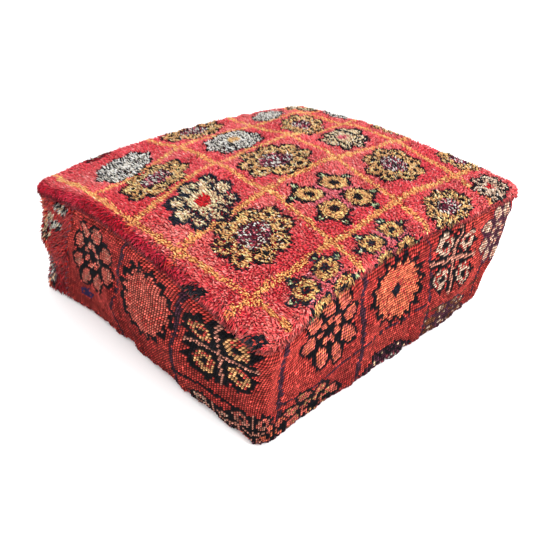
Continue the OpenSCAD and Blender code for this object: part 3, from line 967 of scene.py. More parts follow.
@dataclass(frozen=True)
class Tufts:
    """Cut pile: rows of leaning tufts over a panel."""

    pitch: float = 3.15
    length: float = 7.0
    width: float = 4.6
    depth: float = 5.7
    lean: float = 41.0
    seed: int = 5
    turn_spread: float = 0.45
    lean_spread: float = 11.0
    length_spread: float = 0.13
    width_spread: float = 0.12
    # Painted shade at the tuft roots, and the painted highlight's gain towards the tips.
    root_shade_tone: float = 0.34
    tip_highlight_gain: float = 1.1

    def grow(
        self, surface: Surface, u: np.ndarray, v: np.ndarray, nap: tuple[float, float]
    ) -> tuple[np.ndarray, np.ndarray]:
        """Grows the tufts.

        Args:
            surface: The skin that the tufts' tips reach; its normal points outwards.
            u: Knots' first coordinates.
            v: Knots' second coordinates.
            nap: The way that the pile lies, along u and v.

        Returns:
            Points, four to a tuft, and how far along its tuft each of the four lies.
        """
        draw = np.random.default_rng(self.seed)
        size = u.shape
        at, normal, du, dv = frames(surface, u, v)
        root = at - normal * self.depth
        drift = Lumps(self.seed + 2, 90).at(np.stack([u, v], -1)) * 0.35
        turn = drift + draw.normal(0, self.turn_spread, size)
        way_u = nap[0] * np.cos(turn) - nap[1] * np.sin(turn)
        way_v = nap[0] * np.sin(turn) + nap[1] * np.cos(turn)
        lie = unit(du * way_u[..., None] + dv * way_v[..., None])
        lean = np.radians(self.lean + draw.normal(0, self.lean_spread, size))[..., None]
        along = unit(normal * np.cos(lean) + lie * np.sin(lean))
        across = unit(np.cross(normal, along))
        ridge = unit(np.cross(along, across))
        ridge = np.where((ridge * normal).sum(-1, keepdims=True) < 0, -ridge, ridge)
        length = (self.length * np.exp(draw.normal(0, self.length_spread, size)))[..., None]
        wide = (self.width * np.exp(draw.normal(0, self.width_spread, size)))[..., None] / 2
        foot = root - along * length * 0.1
        tip = root + along * length * 1.05
        points = [foot - across * wide, foot + across * wide, foot + ridge * wide * 1.3, tip]
        return np.stack(points, -2), np.array([0, 0, 0.1, 1.0])

    def faces(self, count: int) -> list[Face]:
        """Gives the tufts' faces.

        Args:
            count: How many tufts there are.

        Returns:
            The faces of all.
        """
        one = [(0, 1, 3), (1, 2, 3), (2, 0, 3), (2, 1, 0)]
        return [tuple(4 * i + k for k in face) for i in range(count) for face in one]

    def tip_shift(self) -> float:
        """Gives how far beyond its root a tuft is seen, along the way that it lies."""
        return self.length * math.sin(math.radians(self.lean)) * 0.75

    def shade(self, dyes: np.ndarray, shares: np.ndarray) -> np.ndarray:
        """Paints shade on each tuft's root and a highlight on its tip, darkening the root and lightening the
        tip.

        Args:
            dyes: A colour for each tuft.
            shares: How far along its tuft each point lies.

        Returns:
            A colour for each point.
        """
        # Painted shade at the root, rising to a painted highlight at the tip.
        tone = self.root_shade_tone + self.tip_highlight_gain * shares
        return np.clip(dyes[:, None, :] * tone[None, :, None], 0, 1).reshape(-1, 3)


@dataclass
class TopPanel:
    """The top of the cover, pile side out, with its rim rolled over the seam."""

    cloth: TopCloth
    tufts: Tufts = Tufts(seed=61)
    chart: Chart = TOP_CHART
    rim: float = 17.0
    thick: float = 5.0
    scatter: float = 0.8
    nap: tuple[float, float] = (0.28, -0.96)
    cells: tuple[int, int] = (37, 39)

    def build(self, finish: bpy.types.Material) -> bpy.types.Object:
        """Weaves the panel.

        Args:
            finish: Its material.

        Returns:
            The piece.
        """
        form = self.cloth.form
        wide, deep = form.half_w + self.rim, form.half_d + self.rim
        cols, rows = round(2 * wide / self.tufts.pitch), round(2 * deep / self.tufts.pitch)
        xs = (np.arange(cols) + 0.5) / cols * 2 * wide - wide
        ys = (np.arange(rows) + 0.5) / rows * 2 * deep - deep
        draw = np.random.default_rng(62)
        x, y = np.meshgrid(xs, ys)
        x = (x + draw.normal(0, self.scatter, x.shape)).ravel()
        y = (y + draw.normal(0, self.scatter, y.shape)).ravel()
        blades, shares = self.tufts.grow(self.cloth.point, x, y, self.nap)
        shift = self.tufts.tip_shift()
        dyes = self.chart.weave(x + self.nap[0] * shift, y + self.nap[1] * shift)
        dyes = self._paint_rim_shade_and_light(dyes, x, y)
        ground, faces, tint = self._foundation(wide, deep)
        points = np.concatenate([ground, blades.reshape(-1, 3)])
        colours = np.concatenate([tint, self.tufts.shade(dyes, shares)])
        first = len(ground)
        faces += [tuple(k + first for k in face) for face in self.tufts.faces(len(x))]
        return make_piece(
            "top_panel_pile", points, faces, finish, ["top_panel"], colours=colours
        )

    def _paint_rim_shade_and_light(self, dyes: np.ndarray, x: np.ndarray, y: np.ndarray) -> np.ndarray:
        """Paints shade along the lips where the rim rolls over and on the tufts turned under the rim, and
        paints warm light on the corner nearest the light.

        Args:
            dyes: A colour for each tuft.
            x: Places across the flat panel.
            y: Places along the flat panel.

        Returns:
            The changed colours.
        """
        half_w, half_d = self.cloth.form.half_w, self.cloth.form.half_d
        # Painted shade: a dark crimson line along the front and left lips.
        lip_shade = np.clip((-y - half_d + 20) / 12, 0, 1) * np.clip((half_w - 40 - x) / 120, 0.15, 1)
        lip_shade = np.maximum(lip_shade, 0.8 * np.clip((-x - half_w + 14) / 10, 0, 1))[:, None]
        # Painted light: the corner nearest the key light is warmed.
        key_light_warmth = np.clip((x / half_w - y / half_d) / 2, 0, 1)[:, None] * np.array([0.06, 0.02, -0.12])
        # Painted shade: tufts turned under the rolled rim are darkened.
        under = 1 - 0.7 * np.clip((np.maximum(np.abs(x) - half_w, np.abs(y) - half_d) - 5) / 5, 0, 1)
        return dyes * (1 + key_light_warmth) * (1 - lip_shade * np.array([0.52, 0.9, 0.74])) * under[:, None]

    def _foundation(self, wide: float, deep: float) -> tuple[np.ndarray, list[Face], np.ndarray]:
        """Makes the woven ground under the pile, as a closed sheet.

        Args:
            wide: Half its width.
            deep: Half its depth.

        Returns:
            Points, faces and a colour for each point.
        """
        xs = np.linspace(-wide, wide, self.cells[0])
        ys = np.linspace(-deep, deep, self.cells[1])
        at, normal, _, _ = frames(self.cloth.point, *np.meshgrid(xs, ys))
        under = self.tufts.depth - 0.5
        points, faces = closed_sheet(at - normal * under, at - normal * (under + self.thick))
        return points, faces, np.tile(PALETTE[NUMBER[Dye.CRIMSON]], (len(points), 1))


@dataclass(frozen=True)
class JoinLine:
    """Where the two bands meet, as a distance round the sides at each height."""

    foot: float
    head: float
    bend: float = 2.4

    def at(self, t: np.ndarray) -> np.ndarray:
        """Gives the join's place at a share of the height."""
        return self.foot + (self.head - self.foot) * np.clip(t, 0, 1) ** self.bend


@dataclass
class Band:
    """One side band, from one join to the next."""

    cloth: SideCloth
    start: JoinLine
    end: JoinLine
    chart: Chart
    thick: float = 8.0
    seam_top: float = 238.0
    least_z: float = 0.2

    @property
    def length(self) -> float:
        """The band's length along its middle."""
        return float(self.end.at(0.5) - self.start.at(0.5))

    def column(self, share: np.ndarray, t: np.ndarray) -> np.ndarray:
        """Gives the distance round the sides at a share of the band's length."""
        return self.start.at(t) * (1 - share) + self.end.at(t) * share

    def surface(self, share: np.ndarray, t: np.ndarray, inward: float = 0.0) -> np.ndarray:
        """Gives the band's skin."""
        return self.cloth.point(self.column(share, t), t, inward)


@dataclass
class KnotBackBand(Band):
    """The front band, turned so that the rows of knot backs show."""

    knot: float = 4.9
    ribs: float = 1.1
    height: float = 230.0
    # Painted shade in the gaps and between the knots of a row, and painted light on the knot middles.
    gap_shade_tone: float = 0.03
    row_shade_tone: float = 0.26
    knot_light_gain: float = 1.9
    inner_shares: tuple[float, ...] = (0.0, 0.015, 0.3, 0.65, 0.97)

    def build(self, finish: bpy.types.Material) -> bpy.types.Object:
        """Weaves the band.

        Args:
            finish: Its material.

        Returns:
            The piece.
        """
        cols, rows = round(self.length / self.knot), round(self.height / self.knot)
        share = np.linspace(0, 1, 2 * cols + 1)
        grid_share, grid_t = np.meshgrid(share, np.linspace(1, 0, 2 * rows + 1), indexing="ij")
        skin = self._ribbed(self.surface(grid_share, grid_t), cols, rows)
        share_in, t_in = np.meshgrid(share, np.array(self.inner_shares), indexing="ij")
        inner = self.surface(share_in, t_in, self.thick)
        inner[..., 2] = np.maximum(inner[..., 2], self.least_z)
        points, faces = closed_strip(skin, inner)
        flat = np.stack([self.column(grid_share, grid_t), grid_t * self.seam_top], -1)
        flat_in = np.stack([self.column(share_in, t_in), t_in * self.seam_top], -1)
        tint = np.tile(PALETTE[NUMBER[Dye.BRICK]], (*inner.shape[:2], 1))
        colours = np.concatenate([self._knots(flat, cols, rows), tint], 1)
        return make_piece(
            "side_band_knot_backs",
            points,
            faces,
            finish,
            ["side_band_front"],
            colours=colours.reshape(-1, 3),
            cloth=np.concatenate([flat, flat_in], 1).reshape(-1, 2),
        )

    def _ribbed(self, skin: np.ndarray, cols: int, rows: int) -> np.ndarray:
        """Raises each knot and sinks the gaps between.

        Args:
            skin: The smooth skin, with two steps to a knot each way.
            cols: Knots along the band.
            rows: Knots up the band.

        Returns:
            The ribbed skin.
        """
        out = unit(np.cross(np.gradient(skin, axis=1), np.gradient(skin, axis=0)))
        draw = np.random.default_rng(71)
        height = np.zeros(skin.shape[:2])
        height[1::2, 1::2] = self.ribs * (1 + draw.normal(0, 0.25, (cols, rows)))
        height[1::2, 0::2] = self.ribs * 0.45
        height[0::2, :] = -self.ribs * 0.55
        height[0::2, 1::2] += self.ribs * 0.35
        return skin + out * height[..., None]

    def _knots(self, flat: np.ndarray, cols: int, rows: int) -> np.ndarray:
        """Dyes each knot evenly, paints shade in the gaps between knots and light on each knot's middle, and
        paints shade under the top seam and towards the bottom.

        Args:
            flat: The flat cloth's coordinates, with two steps to a knot each way.
            cols: Knots along the band.
            rows: Knots up the band.

        Returns:
            A colour for each place.
        """
        knots = self.chart.weave(flat[1::2, 1::2, 0], flat[1::2, 1::2, 1])
        i = np.clip(np.arange(2 * cols + 1) // 2, 0, cols - 1)
        j = np.clip(np.arange(2 * rows + 1) // 2, 0, rows - 1)
        colours = knots[i][:, j]
        # Painted shade in the gaps between knots, and painted light on each knot's middle.
        colours[0::2, :] *= self.gap_shade_tone
        colours[1::2, 0::2] *= self.row_shade_tone
        colours[1::2, 1::2] *= self.knot_light_gain
        # Painted shade: a dark groove under the top seam, and the band darker towards the bottom.
        drop = 225.0
        below = np.linspace(0, drop, 2 * rows + 1)
        wear_and_shade = (1 - 0.75 * np.exp(-((below / 17) ** 4))) * (1.12 - 0.42 * (below / drop) ** 1.5)
        return colours * wear_and_shade[None, :, None]


@dataclass
class PileBand(Band):
    """The rear band, pile side out."""

    tufts: Tufts = Tufts(pitch=3.9, length=10.0, width=5.2, depth=5.0, lean=52, seed=81)
    height: float = 232.0
    nap: tuple[float, float] = (0.12, -0.99)
    scatter: float = 0.9
    cells: tuple[int, int] = (161, 21)
    inner_shares: tuple[float, ...] = (0.0, 0.3, 0.65, 0.97)

    def build(self, finish: bpy.types.Material) -> bpy.types.Object:
        """Weaves the band.

        Args:
            finish: Its material.

        Returns:
            The piece.
        """
        share = np.linspace(0, 1, self.cells[0])
        grid_share, grid_t = np.meshgrid(share, np.linspace(1, 0, self.cells[1]), indexing="ij")
        skin = self.surface(grid_share, grid_t, self.tufts.depth - 0.6)
        share_in, t_in = np.meshgrid(share, np.array(self.inner_shares), indexing="ij")
        ground, faces = closed_strip(skin, self.surface(share_in, t_in, self.thick))
        u, v = self._knot_places()
        blades, shares = self.tufts.grow(self._skin_in_mm, u * self.length, v * self.height, self.nap)
        dyes = self.chart.weave(self.column(u, v), v * self.seam_top)
        points = np.concatenate([ground, blades.reshape(-1, 3)])
        points[:, 2] = np.maximum(points[:, 2], self.least_z)
        first = len(ground)
        tint = np.tile(PALETTE[NUMBER[Dye.CRIMSON]] * 0.5, (first, 1))
        colours = np.concatenate([tint, self.tufts.shade(dyes, shares)])
        faces += [tuple(k + first for k in face) for face in self.tufts.faces(len(u))]
        return make_piece(
            "side_band_pile", points, faces, finish, ["side_band_rear"], colours=colours
        )

    def _knot_places(self) -> tuple[np.ndarray, np.ndarray]:
        """Scatters the knots a little off their rows.

        Returns:
            Their shares of the band's length and of its height.
        """
        cols, rows = round(self.length / self.tufts.pitch), round(self.height / self.tufts.pitch)
        draw = np.random.default_rng(82)
        u, v = np.meshgrid((np.arange(cols) + 0.5) / cols, (np.arange(rows) + 0.5) / rows)
        v = 0.02 + 0.96 * v
        u = (u + draw.normal(0, self.scatter / self.length, u.shape)).ravel()
        v = np.clip(v + draw.normal(0, self.scatter / self.height, v.shape), 0.01, 0.99).ravel()
        return u, v

    def _skin_in_mm(self, along: np.ndarray, up: np.ndarray) -> np.ndarray:
        """Gives the skin by millimetres along and up the band."""
        return self.surface(along / self.length, np.clip(up / self.height, 0, 1))


@dataclass(frozen=True)
class Thread:
    """Waxed thread, sewn over and over a seam."""

    radius: float = 0.8
    sides: int = 6

    def sew(self, paths: Sequence[np.ndarray]) -> tuple[np.ndarray, list[Face]]:
        """Makes a closed tube along each stitch.

        Args:
            paths: The points that each stitch follows.

        Returns:
            Points and faces of all the stitches.
        """
        points, faces = [], []
        turns = np.arange(self.sides) * 2 * math.pi / self.sides
        for path in paths:
            first = sum(len(p) for p in points)
            way = unit(np.gradient(path, axis=0))
            side = unit(np.cross(way, np.array([0.31, 0.17, 0.94])))
            lift = np.cross(side, way)
            thin = np.ones(len(path))
            thin[0] = thin[-1] = 0.45
            ring = side[:, None] * np.cos(turns)[None, :, None] + lift[:, None] * np.sin(turns)[None, :, None]
            tube = path[:, None] + ring * self.radius * thin[:, None, None]
            points.append(tube.reshape(-1, 3))
            for i in range(len(path) - 1):
                for j in range(self.sides):
                    k = (j + 1) % self.sides
                    a, b = first + i * self.sides, first + (i + 1) * self.sides
                    faces.append((a + k, a + j, b + j, b + k))
            faces.append(tuple(first + j for j in range(self.sides)))
            last = first + (len(path) - 1) * self.sides
            faces.append(tuple(last + j for j in reversed(range(self.sides))))
        return np.concatenate(points), faces


@dataclass
class Stitching:
    """The overcast seams of the cover."""

    cloth: SideCloth
    pitch: float = 12.0
    join_stitches: int = 17
    join_step: float = 0.052
    thread: Thread = Thread()

    def _over(self, s: np.ndarray, t: np.ndarray, out: np.ndarray) -> np.ndarray:
        """Lays a stitch's points over the cloth."""
        return self.cloth.point(s, t, 0.0) + self._outward(s) * out[:, None]

    def _outward(self, s: np.ndarray) -> np.ndarray:
        """Gives the level outward direction round the sides."""
        normal = self.cloth.form.ring(s)[1]
        return np.concatenate([normal, np.zeros((len(s), 1))], 1)

    def ring_seam(
        self, name: str, node: str, low: float, high: float, finish: bpy.types.Material
    ) -> bpy.types.Object:
        """Sews round the top or the base.

        Args:
            name: The piece's name.
            node: The CAD node that it stands for.
            low: The stitches' lower end, as a share of the height.
            high: Their upper end.
            finish: The thread's material.

        Returns:
            The piece.
        """
        count = int(self.cloth.form.girth / self.pitch)
        share = np.linspace(0, 1, 7)
        bow = np.sin(share * math.pi) * 1.3 - 0.4
        paths = []
        for i in range(count):
            s = i * self.pitch + share * self.pitch * 0.55
            paths.append(self._over(s, low + (high - low) * share, bow))
        points, faces = self.thread.sew(paths)
        points[:, 2] = np.maximum(points[:, 2], 0.1)
        return make_piece(name, points, faces, finish, [node])

    def join_seam(
        self, name: str, node: str, join: JoinLine, finish: bpy.types.Material
    ) -> bpy.types.Object:
        """Sews up one upright join.

        Args:
            name: The piece's name.
            node: The CAD node that it stands for.
            join: Where the bands meet.
            finish: The thread's material.

        Returns:
            The piece.
        """
        share = np.linspace(0, 1, 7)
        bow = np.sin(share * math.pi) * 2.0 + 0.2
        paths = []
        for i in range(self.join_stitches):
            t = 0.07 + i * self.join_step + share * 0.02
            paths.append(self._over(join.at(t) + (share - 0.5) * 9, t, bow))
        points, faces = self.thread.sew(paths)
        return make_piece(name, points, faces, finish, [node])


@dataclass
class BasePanels:
    """The two cloth panels under the cushion, folded back along the zip."""

    form: CushionForm
    slot_half: float = 8.5
    slot_from: float = -203.7
    slot_to: float = 203.0
    thick: float = 9.0
    gap: float = 8.0
    corner_r: float = 24.0
    zip_end_r: float = 7.0
    ridges: tuple[float, float] = (6.0, 12.0)
    crumple: Lumps = Lumps(91, 70)
    pleats: Lumps = Lumps(92, 24)
    fold: Lumps = Lumps(93, 34)

    def build(self, finish: bpy.types.Material) -> None:
        """Makes both panels.

        Args:
            finish: Their material.
        """
        for name, side in (("base_panel_front", -1), ("base_panel_rear", 1)):
            self._panel(name, side, finish)

    def _edge(self, x: np.ndarray) -> np.ndarray:
        """Gives the folded edge's distance from the middle line."""
        past = np.maximum(self.slot_from - x, x - self.slot_to) / self.zip_end_r
        return 0.15 + (self.slot_half - 0.15) * np.clip(1 - past, 0, 1) ** 0.6 * (past < 1)

    def _panel(self, node: str, side: int, finish: bpy.types.Material) -> bpy.types.Object:
        """Makes one panel as a closed sheet.

        Args:
            node: The CAD node that it stands for.
            side: Which side of the zip it lies on, -1 for the front and 1 for the rear.
            finish: Its material.

        Returns:
            The piece.
        """
        inset = self.form.base_inset + self.gap
        half_w, half_d = self.form.half_w - inset, self.form.half_d - inset
        u = np.linspace(-1, 1, 141)
        v = np.concatenate([np.arange(0, 18) * 0.0035, np.linspace(0.07, 0.97, 56), np.array([0.988, 1.0])])
        across, away = np.meshgrid(u, v, indexing="ij")
        x = across * half_w
        near = self._edge(x)
        radius = self.corner_r
        over = np.clip(np.abs(x) - (half_w - radius), 0, radius)
        far = half_d - radius + np.sqrt(np.maximum(radius**2 - over**2, 0))
        y = near + (far - near) * away
        rim = np.minimum(half_w - np.abs(x), far - y)
        lower, upper = self._sides(np.stack([x, side * y], -1), y - near, rim)
        lower[..., :2] += (self.form.settle(lower) - lower)[..., :2] * np.clip(y / 60, 0, 1)[..., None]
        upper[..., :2] = lower[..., :2]
        points, faces = closed_sheet(lower, upper)
        if side > 0:
            faces = [face[::-1] for face in faces]
        return make_piece(node + "_cloth", points, faces, finish, [node])

    def _sides(self, flat: np.ndarray, inside: np.ndarray, rim: np.ndarray) -> tuple[np.ndarray, np.ndarray]:
        """Shapes the cloth's two sides: crumples, pleats, rolled edges and topstitched ridges.

        Args:
            flat: Places on the flat base.
            inside: How far each is from the edge folded back along the zip.
            rim: How far each is from the outer edge.

        Returns:
            The lower and the upper side.
        """
        fold = np.clip(inside / 2.5, 0, 1)
        soft = np.clip(rim / 3.0, 0, 1)
        rounding = (1 - np.sqrt(1 - (1 - fold) ** 2)) * 2.5 + (1 - np.sqrt(1 - (1 - soft) ** 2)) * 3.0
        quiet = np.clip(rim / 40, 0, 1) * np.clip(inside / 30, 0, 1)
        rise = 1.2 + (1.7 + 1.5 * self.crumple.at(flat)) * quiet + 0.5 * self.fold.at(flat) * quiet
        rise += 0.8 * self.pleats.at(flat) * np.exp(-rim / 18)
        rise += sum(0.7 * np.exp(-(((inside - ridge) / 1.6) ** 2)) for ridge in self.ridges)
        lower = np.concatenate([flat, (np.maximum(rise, 0.15) + rounding)[..., None]], -1)
        upper = np.concatenate([flat, (self.thick - rounding * 0.6)[..., None]], -1)
        return lower, upper


@dataclass
class Pad:
    """The stuffed pad: its fill, swollen by a cloth simulation, and the case cut round it."""

    form: CushionForm
    voxel: float = 9.0
    cap: float = 5.0
    shell_gap: float = 0.5
    shell: float = 1.0
    fill: float = 0.85
    first_plan: float = 0.975
    first_height: float = 0.97
    seam_drop: float = 7.0
    pressure: float = 4.0
    steps: int = 15
    lumps: Lumps = Lumps(95, 75)

    def build(
        self, stuffing: bpy.types.Material, calico: bpy.types.Material, thread: bpy.types.Material
    ) -> None:
        """Makes the fill, the two halves of its case and their seam.

        Args:
            stuffing: The fill's material.
            calico: The case's material.
            thread: The case thread's material.
        """
        points, faces = self._swollen()
        fill = make_piece("pad_fill_stuffing", points, faces, stuffing, ["pad_fill"])
        normals = np.zeros(len(fill.data.vertices) * 3)
        fill.data.vertices.foreach_get("normal", normals)
        normals = normals.reshape(-1, 3)
        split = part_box("pad_case_base")[1].z / MM - self.seam_drop
        for node, above in (("pad_case_top", True), ("pad_case_base", False)):
            shell, rims = self._shell(points, normals, faces, split, above)
            make_piece(node + "_calico", shell, rims, calico, [node])
        self._seam(points, split, thread)

    def _even(self) -> bpy.types.Mesh:
        """Remeshes the fill evenly, a little smaller than its case.

        Returns:
            The mesh, in metres.
        """
        work = bpy.data.objects.new("pad_work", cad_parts["pad_fill"].data.copy())
        bpy.context.scene.collection.objects.link(work)
        remesh = work.modifiers.new("Remesh", "REMESH")
        remesh.mode = "VOXEL"
        remesh.voxel_size = self.voxel * MM
        bpy.context.view_layer.update()
        graph = bpy.context.evaluated_depsgraph_get()
        even = bpy.data.meshes.new_from_object(work.evaluated_get(graph))
        bpy.data.objects.remove(work)
        rest = np.zeros(len(even.vertices) * 3)
        even.vertices.foreach_get("co", rest)
        rest = rest.reshape(-1, 3) / MM
        rest[:, :2] *= self.first_plan
        middle = rest[:, 2].mean()
        rest[:, 2] = middle + (rest[:, 2] - middle) * self.first_height
        even.vertices.foreach_set("co", (rest * MM).ravel())
        even.update()
        return even

    def _pressed(self, even: bpy.types.Mesh, rest: np.ndarray) -> np.ndarray:
        """Blows the fill up as cloth under pressure, with a cap on how far it moves.

        Args:
            even: The fill's mesh.
            rest: Its points before, in millimetres.

        Returns:
            Its points after, in millimetres.
        """
        scene = bpy.context.scene
        work = bpy.data.objects.new("pad_cloth", even)
        scene.collection.objects.link(work)
        cloth = work.modifiers.new("Cloth", "CLOTH")
        cloth.settings.use_pressure = True
        cloth.settings.uniform_pressure_force = self.pressure
        cloth.settings.effector_weights.gravity = 0.0
        cloth.settings.quality = 4
        for step in range(1, self.steps + 1):
            scene.frame_set(step)
        graph = bpy.context.evaluated_depsgraph_get()
        out = work.evaluated_get(graph).to_mesh()
        swelled = np.zeros(rest.size)
        out.vertices.foreach_get("co", swelled)
        move = swelled.reshape(-1, 3) / MM - rest
        far = np.linalg.norm(move, axis=1, keepdims=True)
        work.evaluated_get(graph).to_mesh_clear()
        bpy.data.objects.remove(work)
        scene.frame_set(1)
        return rest + move * np.minimum(1, self.cap / np.maximum(far, 1e-6))

    def _swollen(self) -> tuple[np.ndarray, list[Face]]:
        """Swells the fill against its case, lumps it and settles it.

        Returns:
            Its points, in millimetres, and its faces.
        """
        even = self._even()
        swelled = np.zeros(len(even.vertices) * 3)
        even.vertices.foreach_get("co", swelled)
        swelled = swelled.reshape(-1, 3) / MM
        swelled = self._pressed(even, swelled)
        low, high = (np.array(v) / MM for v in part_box("pad_fill"))
        lump = self.lumps.at(swelled)[:, None]
        centre = (low + high) / 2
        swelled = swelled + unit(centre - swelled) * (1.6 + 1.2 * lump)
        swelled = np.clip(swelled, low + 1.0, high - 1.0)
        settled = self.form.settle(swelled)
        faces = [tuple(p.vertices) for p in even.polygons]
        return settled, faces

    def _shell(
        self, points: np.ndarray, normals: np.ndarray, faces: list[Face], split: float, above: bool
    ) -> tuple[np.ndarray, list[Face]]:
        """Cuts a thin closed shell round one half of the fill.

        Args:
            points: The fill's points.
            normals: Their outward directions.
            faces: The fill's faces.
            split: The height that the two halves meet at.
            above: Whether the upper half is cut.

        Returns:
            Points and faces.
        """
        heights = points[:, 2]
        upper = [f for f in faces if heights[list(f)].mean() > split]
        lower = [f for f in faces if heights[list(f)].mean() <= split]
        kept = upper if above else lower
        rim = {k for f in upper for k in f} & {k for f in lower for k in f}
        points = points.copy()
        points[list(rim), 2] = split
        used = sorted({k for f in kept for k in f})
        number = {k: i for i, k in enumerate(used)}
        inner = points[used] + normals[used] * self.shell_gap
        outer = points[used] + normals[used] * (self.shell_gap + self.shell)
        size = len(used)
        shell = [tuple(number[k] + size for k in f) for f in kept]
        shell += [tuple(number[k] for k in reversed(f)) for f in kept]
        edges: dict[tuple[int, int], tuple[int, int]] = {}
        for f in kept:
            for a, b in zip(f, f[1:] + f[:1]):
                key = (min(a, b), max(a, b))
                if key in edges:
                    del edges[key]
                else:
                    edges[key] = (a, b)
        for a, b in edges.values():
            a, b = number[a], number[b]
            shell.append((a, b, b + size, a + size))
        return np.concatenate([inner, outer]), shell

    def _seam(self, points: np.ndarray, split: float, finish: bpy.types.Material) -> bpy.types.Object:
        """Sews the case's two halves together.

        Args:
            points: The fill's points.
            split: The seam's height.
            finish: The thread's material.

        Returns:
            The piece.
        """
        near = points[np.abs(points[:, 2] - split) < 7]
        turn = np.arctan2(near[:, 1], near[:, 0])
        order = np.argsort(turn)
        near, turn = near[order], turn[order]
        wraps = np.linspace(-math.pi, math.pi, 241)[:-1]
        reach = np.interp(wraps, turn, np.hypot(near[:, 0], near[:, 1]), period=2 * math.pi) + 3.2
        paths = []
        for a, r in zip(wraps, reach):
            share = np.linspace(-1, 1, 5)
            across = a + share * 0.006
            out = r + 0.8 * (1 - share**2)
            paths.append(np.stack([np.cos(across) * out, np.sin(across) * out, split + share * 3.2], -1))
        sewn, faces = Thread(0.45, 5).sew(paths)
        return make_piece("pad_case_stitches", sewn, faces, finish, ["pad_case_thread"])


# ---- Finishes ----


class Nodes:
    """Adds and joins shader nodes in one tree."""

    def __init__(self, tree: bpy.types.NodeTree) -> None:
        """Starts on a tree."""
        self.tree = tree

    def add(self, kind: str, **values: object) -> bpy.types.Node:
        """Adds a node.

        Args:
            kind: The node's type.
            values: Its properties, or, for a name of an input, that input's value.

        Returns:
            The node.
        """
        node = self.tree.nodes.new(kind)
        for key, value in values.items():
            if hasattr(node, key):
                setattr(node, key, value)
            else:
                node.inputs[key.replace("_", " ")].default_value = value
        return node

    def link(self, source: bpy.types.NodeSocket, target: bpy.types.NodeSocket) -> None:
        """Joins two sockets."""
        self.tree.links.new(source, target)

    def math(self, operation: str, a: object, b: object = 0.5) -> bpy.types.NodeSocket:
        """Adds a Math node.

        Args:
            operation: Its operation.
            a: A socket or a number.
            b: A socket or a number.

        Returns:
            Its output.
        """
        node = self.tree.nodes.new("ShaderNodeMath")
        node.operation = operation
        for i, value in enumerate((a, b)):
            if isinstance(value, bpy.types.NodeSocket):
                self.link(value, node.inputs[i])
            else:
                node.inputs[i].default_value = value
        return node.outputs[0]

    def mix(self, factor: object, a: object, b: object, blend: str = "MIX") -> bpy.types.NodeSocket:
        """Adds a colour Mix node.

        Args:
            factor: A socket or a number.
            a: A socket or a colour.
            b: A socket or a colour.
            blend: How the colours are mixed.

        Returns:
            Its output.
        """
        node = self.tree.nodes.new("ShaderNodeMix")
        node.data_type = "RGBA"
        node.blend_type = blend
        for socket, value in ((node.inputs[0], factor), (node.inputs[6], a), (node.inputs[7], b)):
            if isinstance(value, bpy.types.NodeSocket):
                self.link(value, socket)
            else:
                socket.default_value = value
        return node.outputs[2]


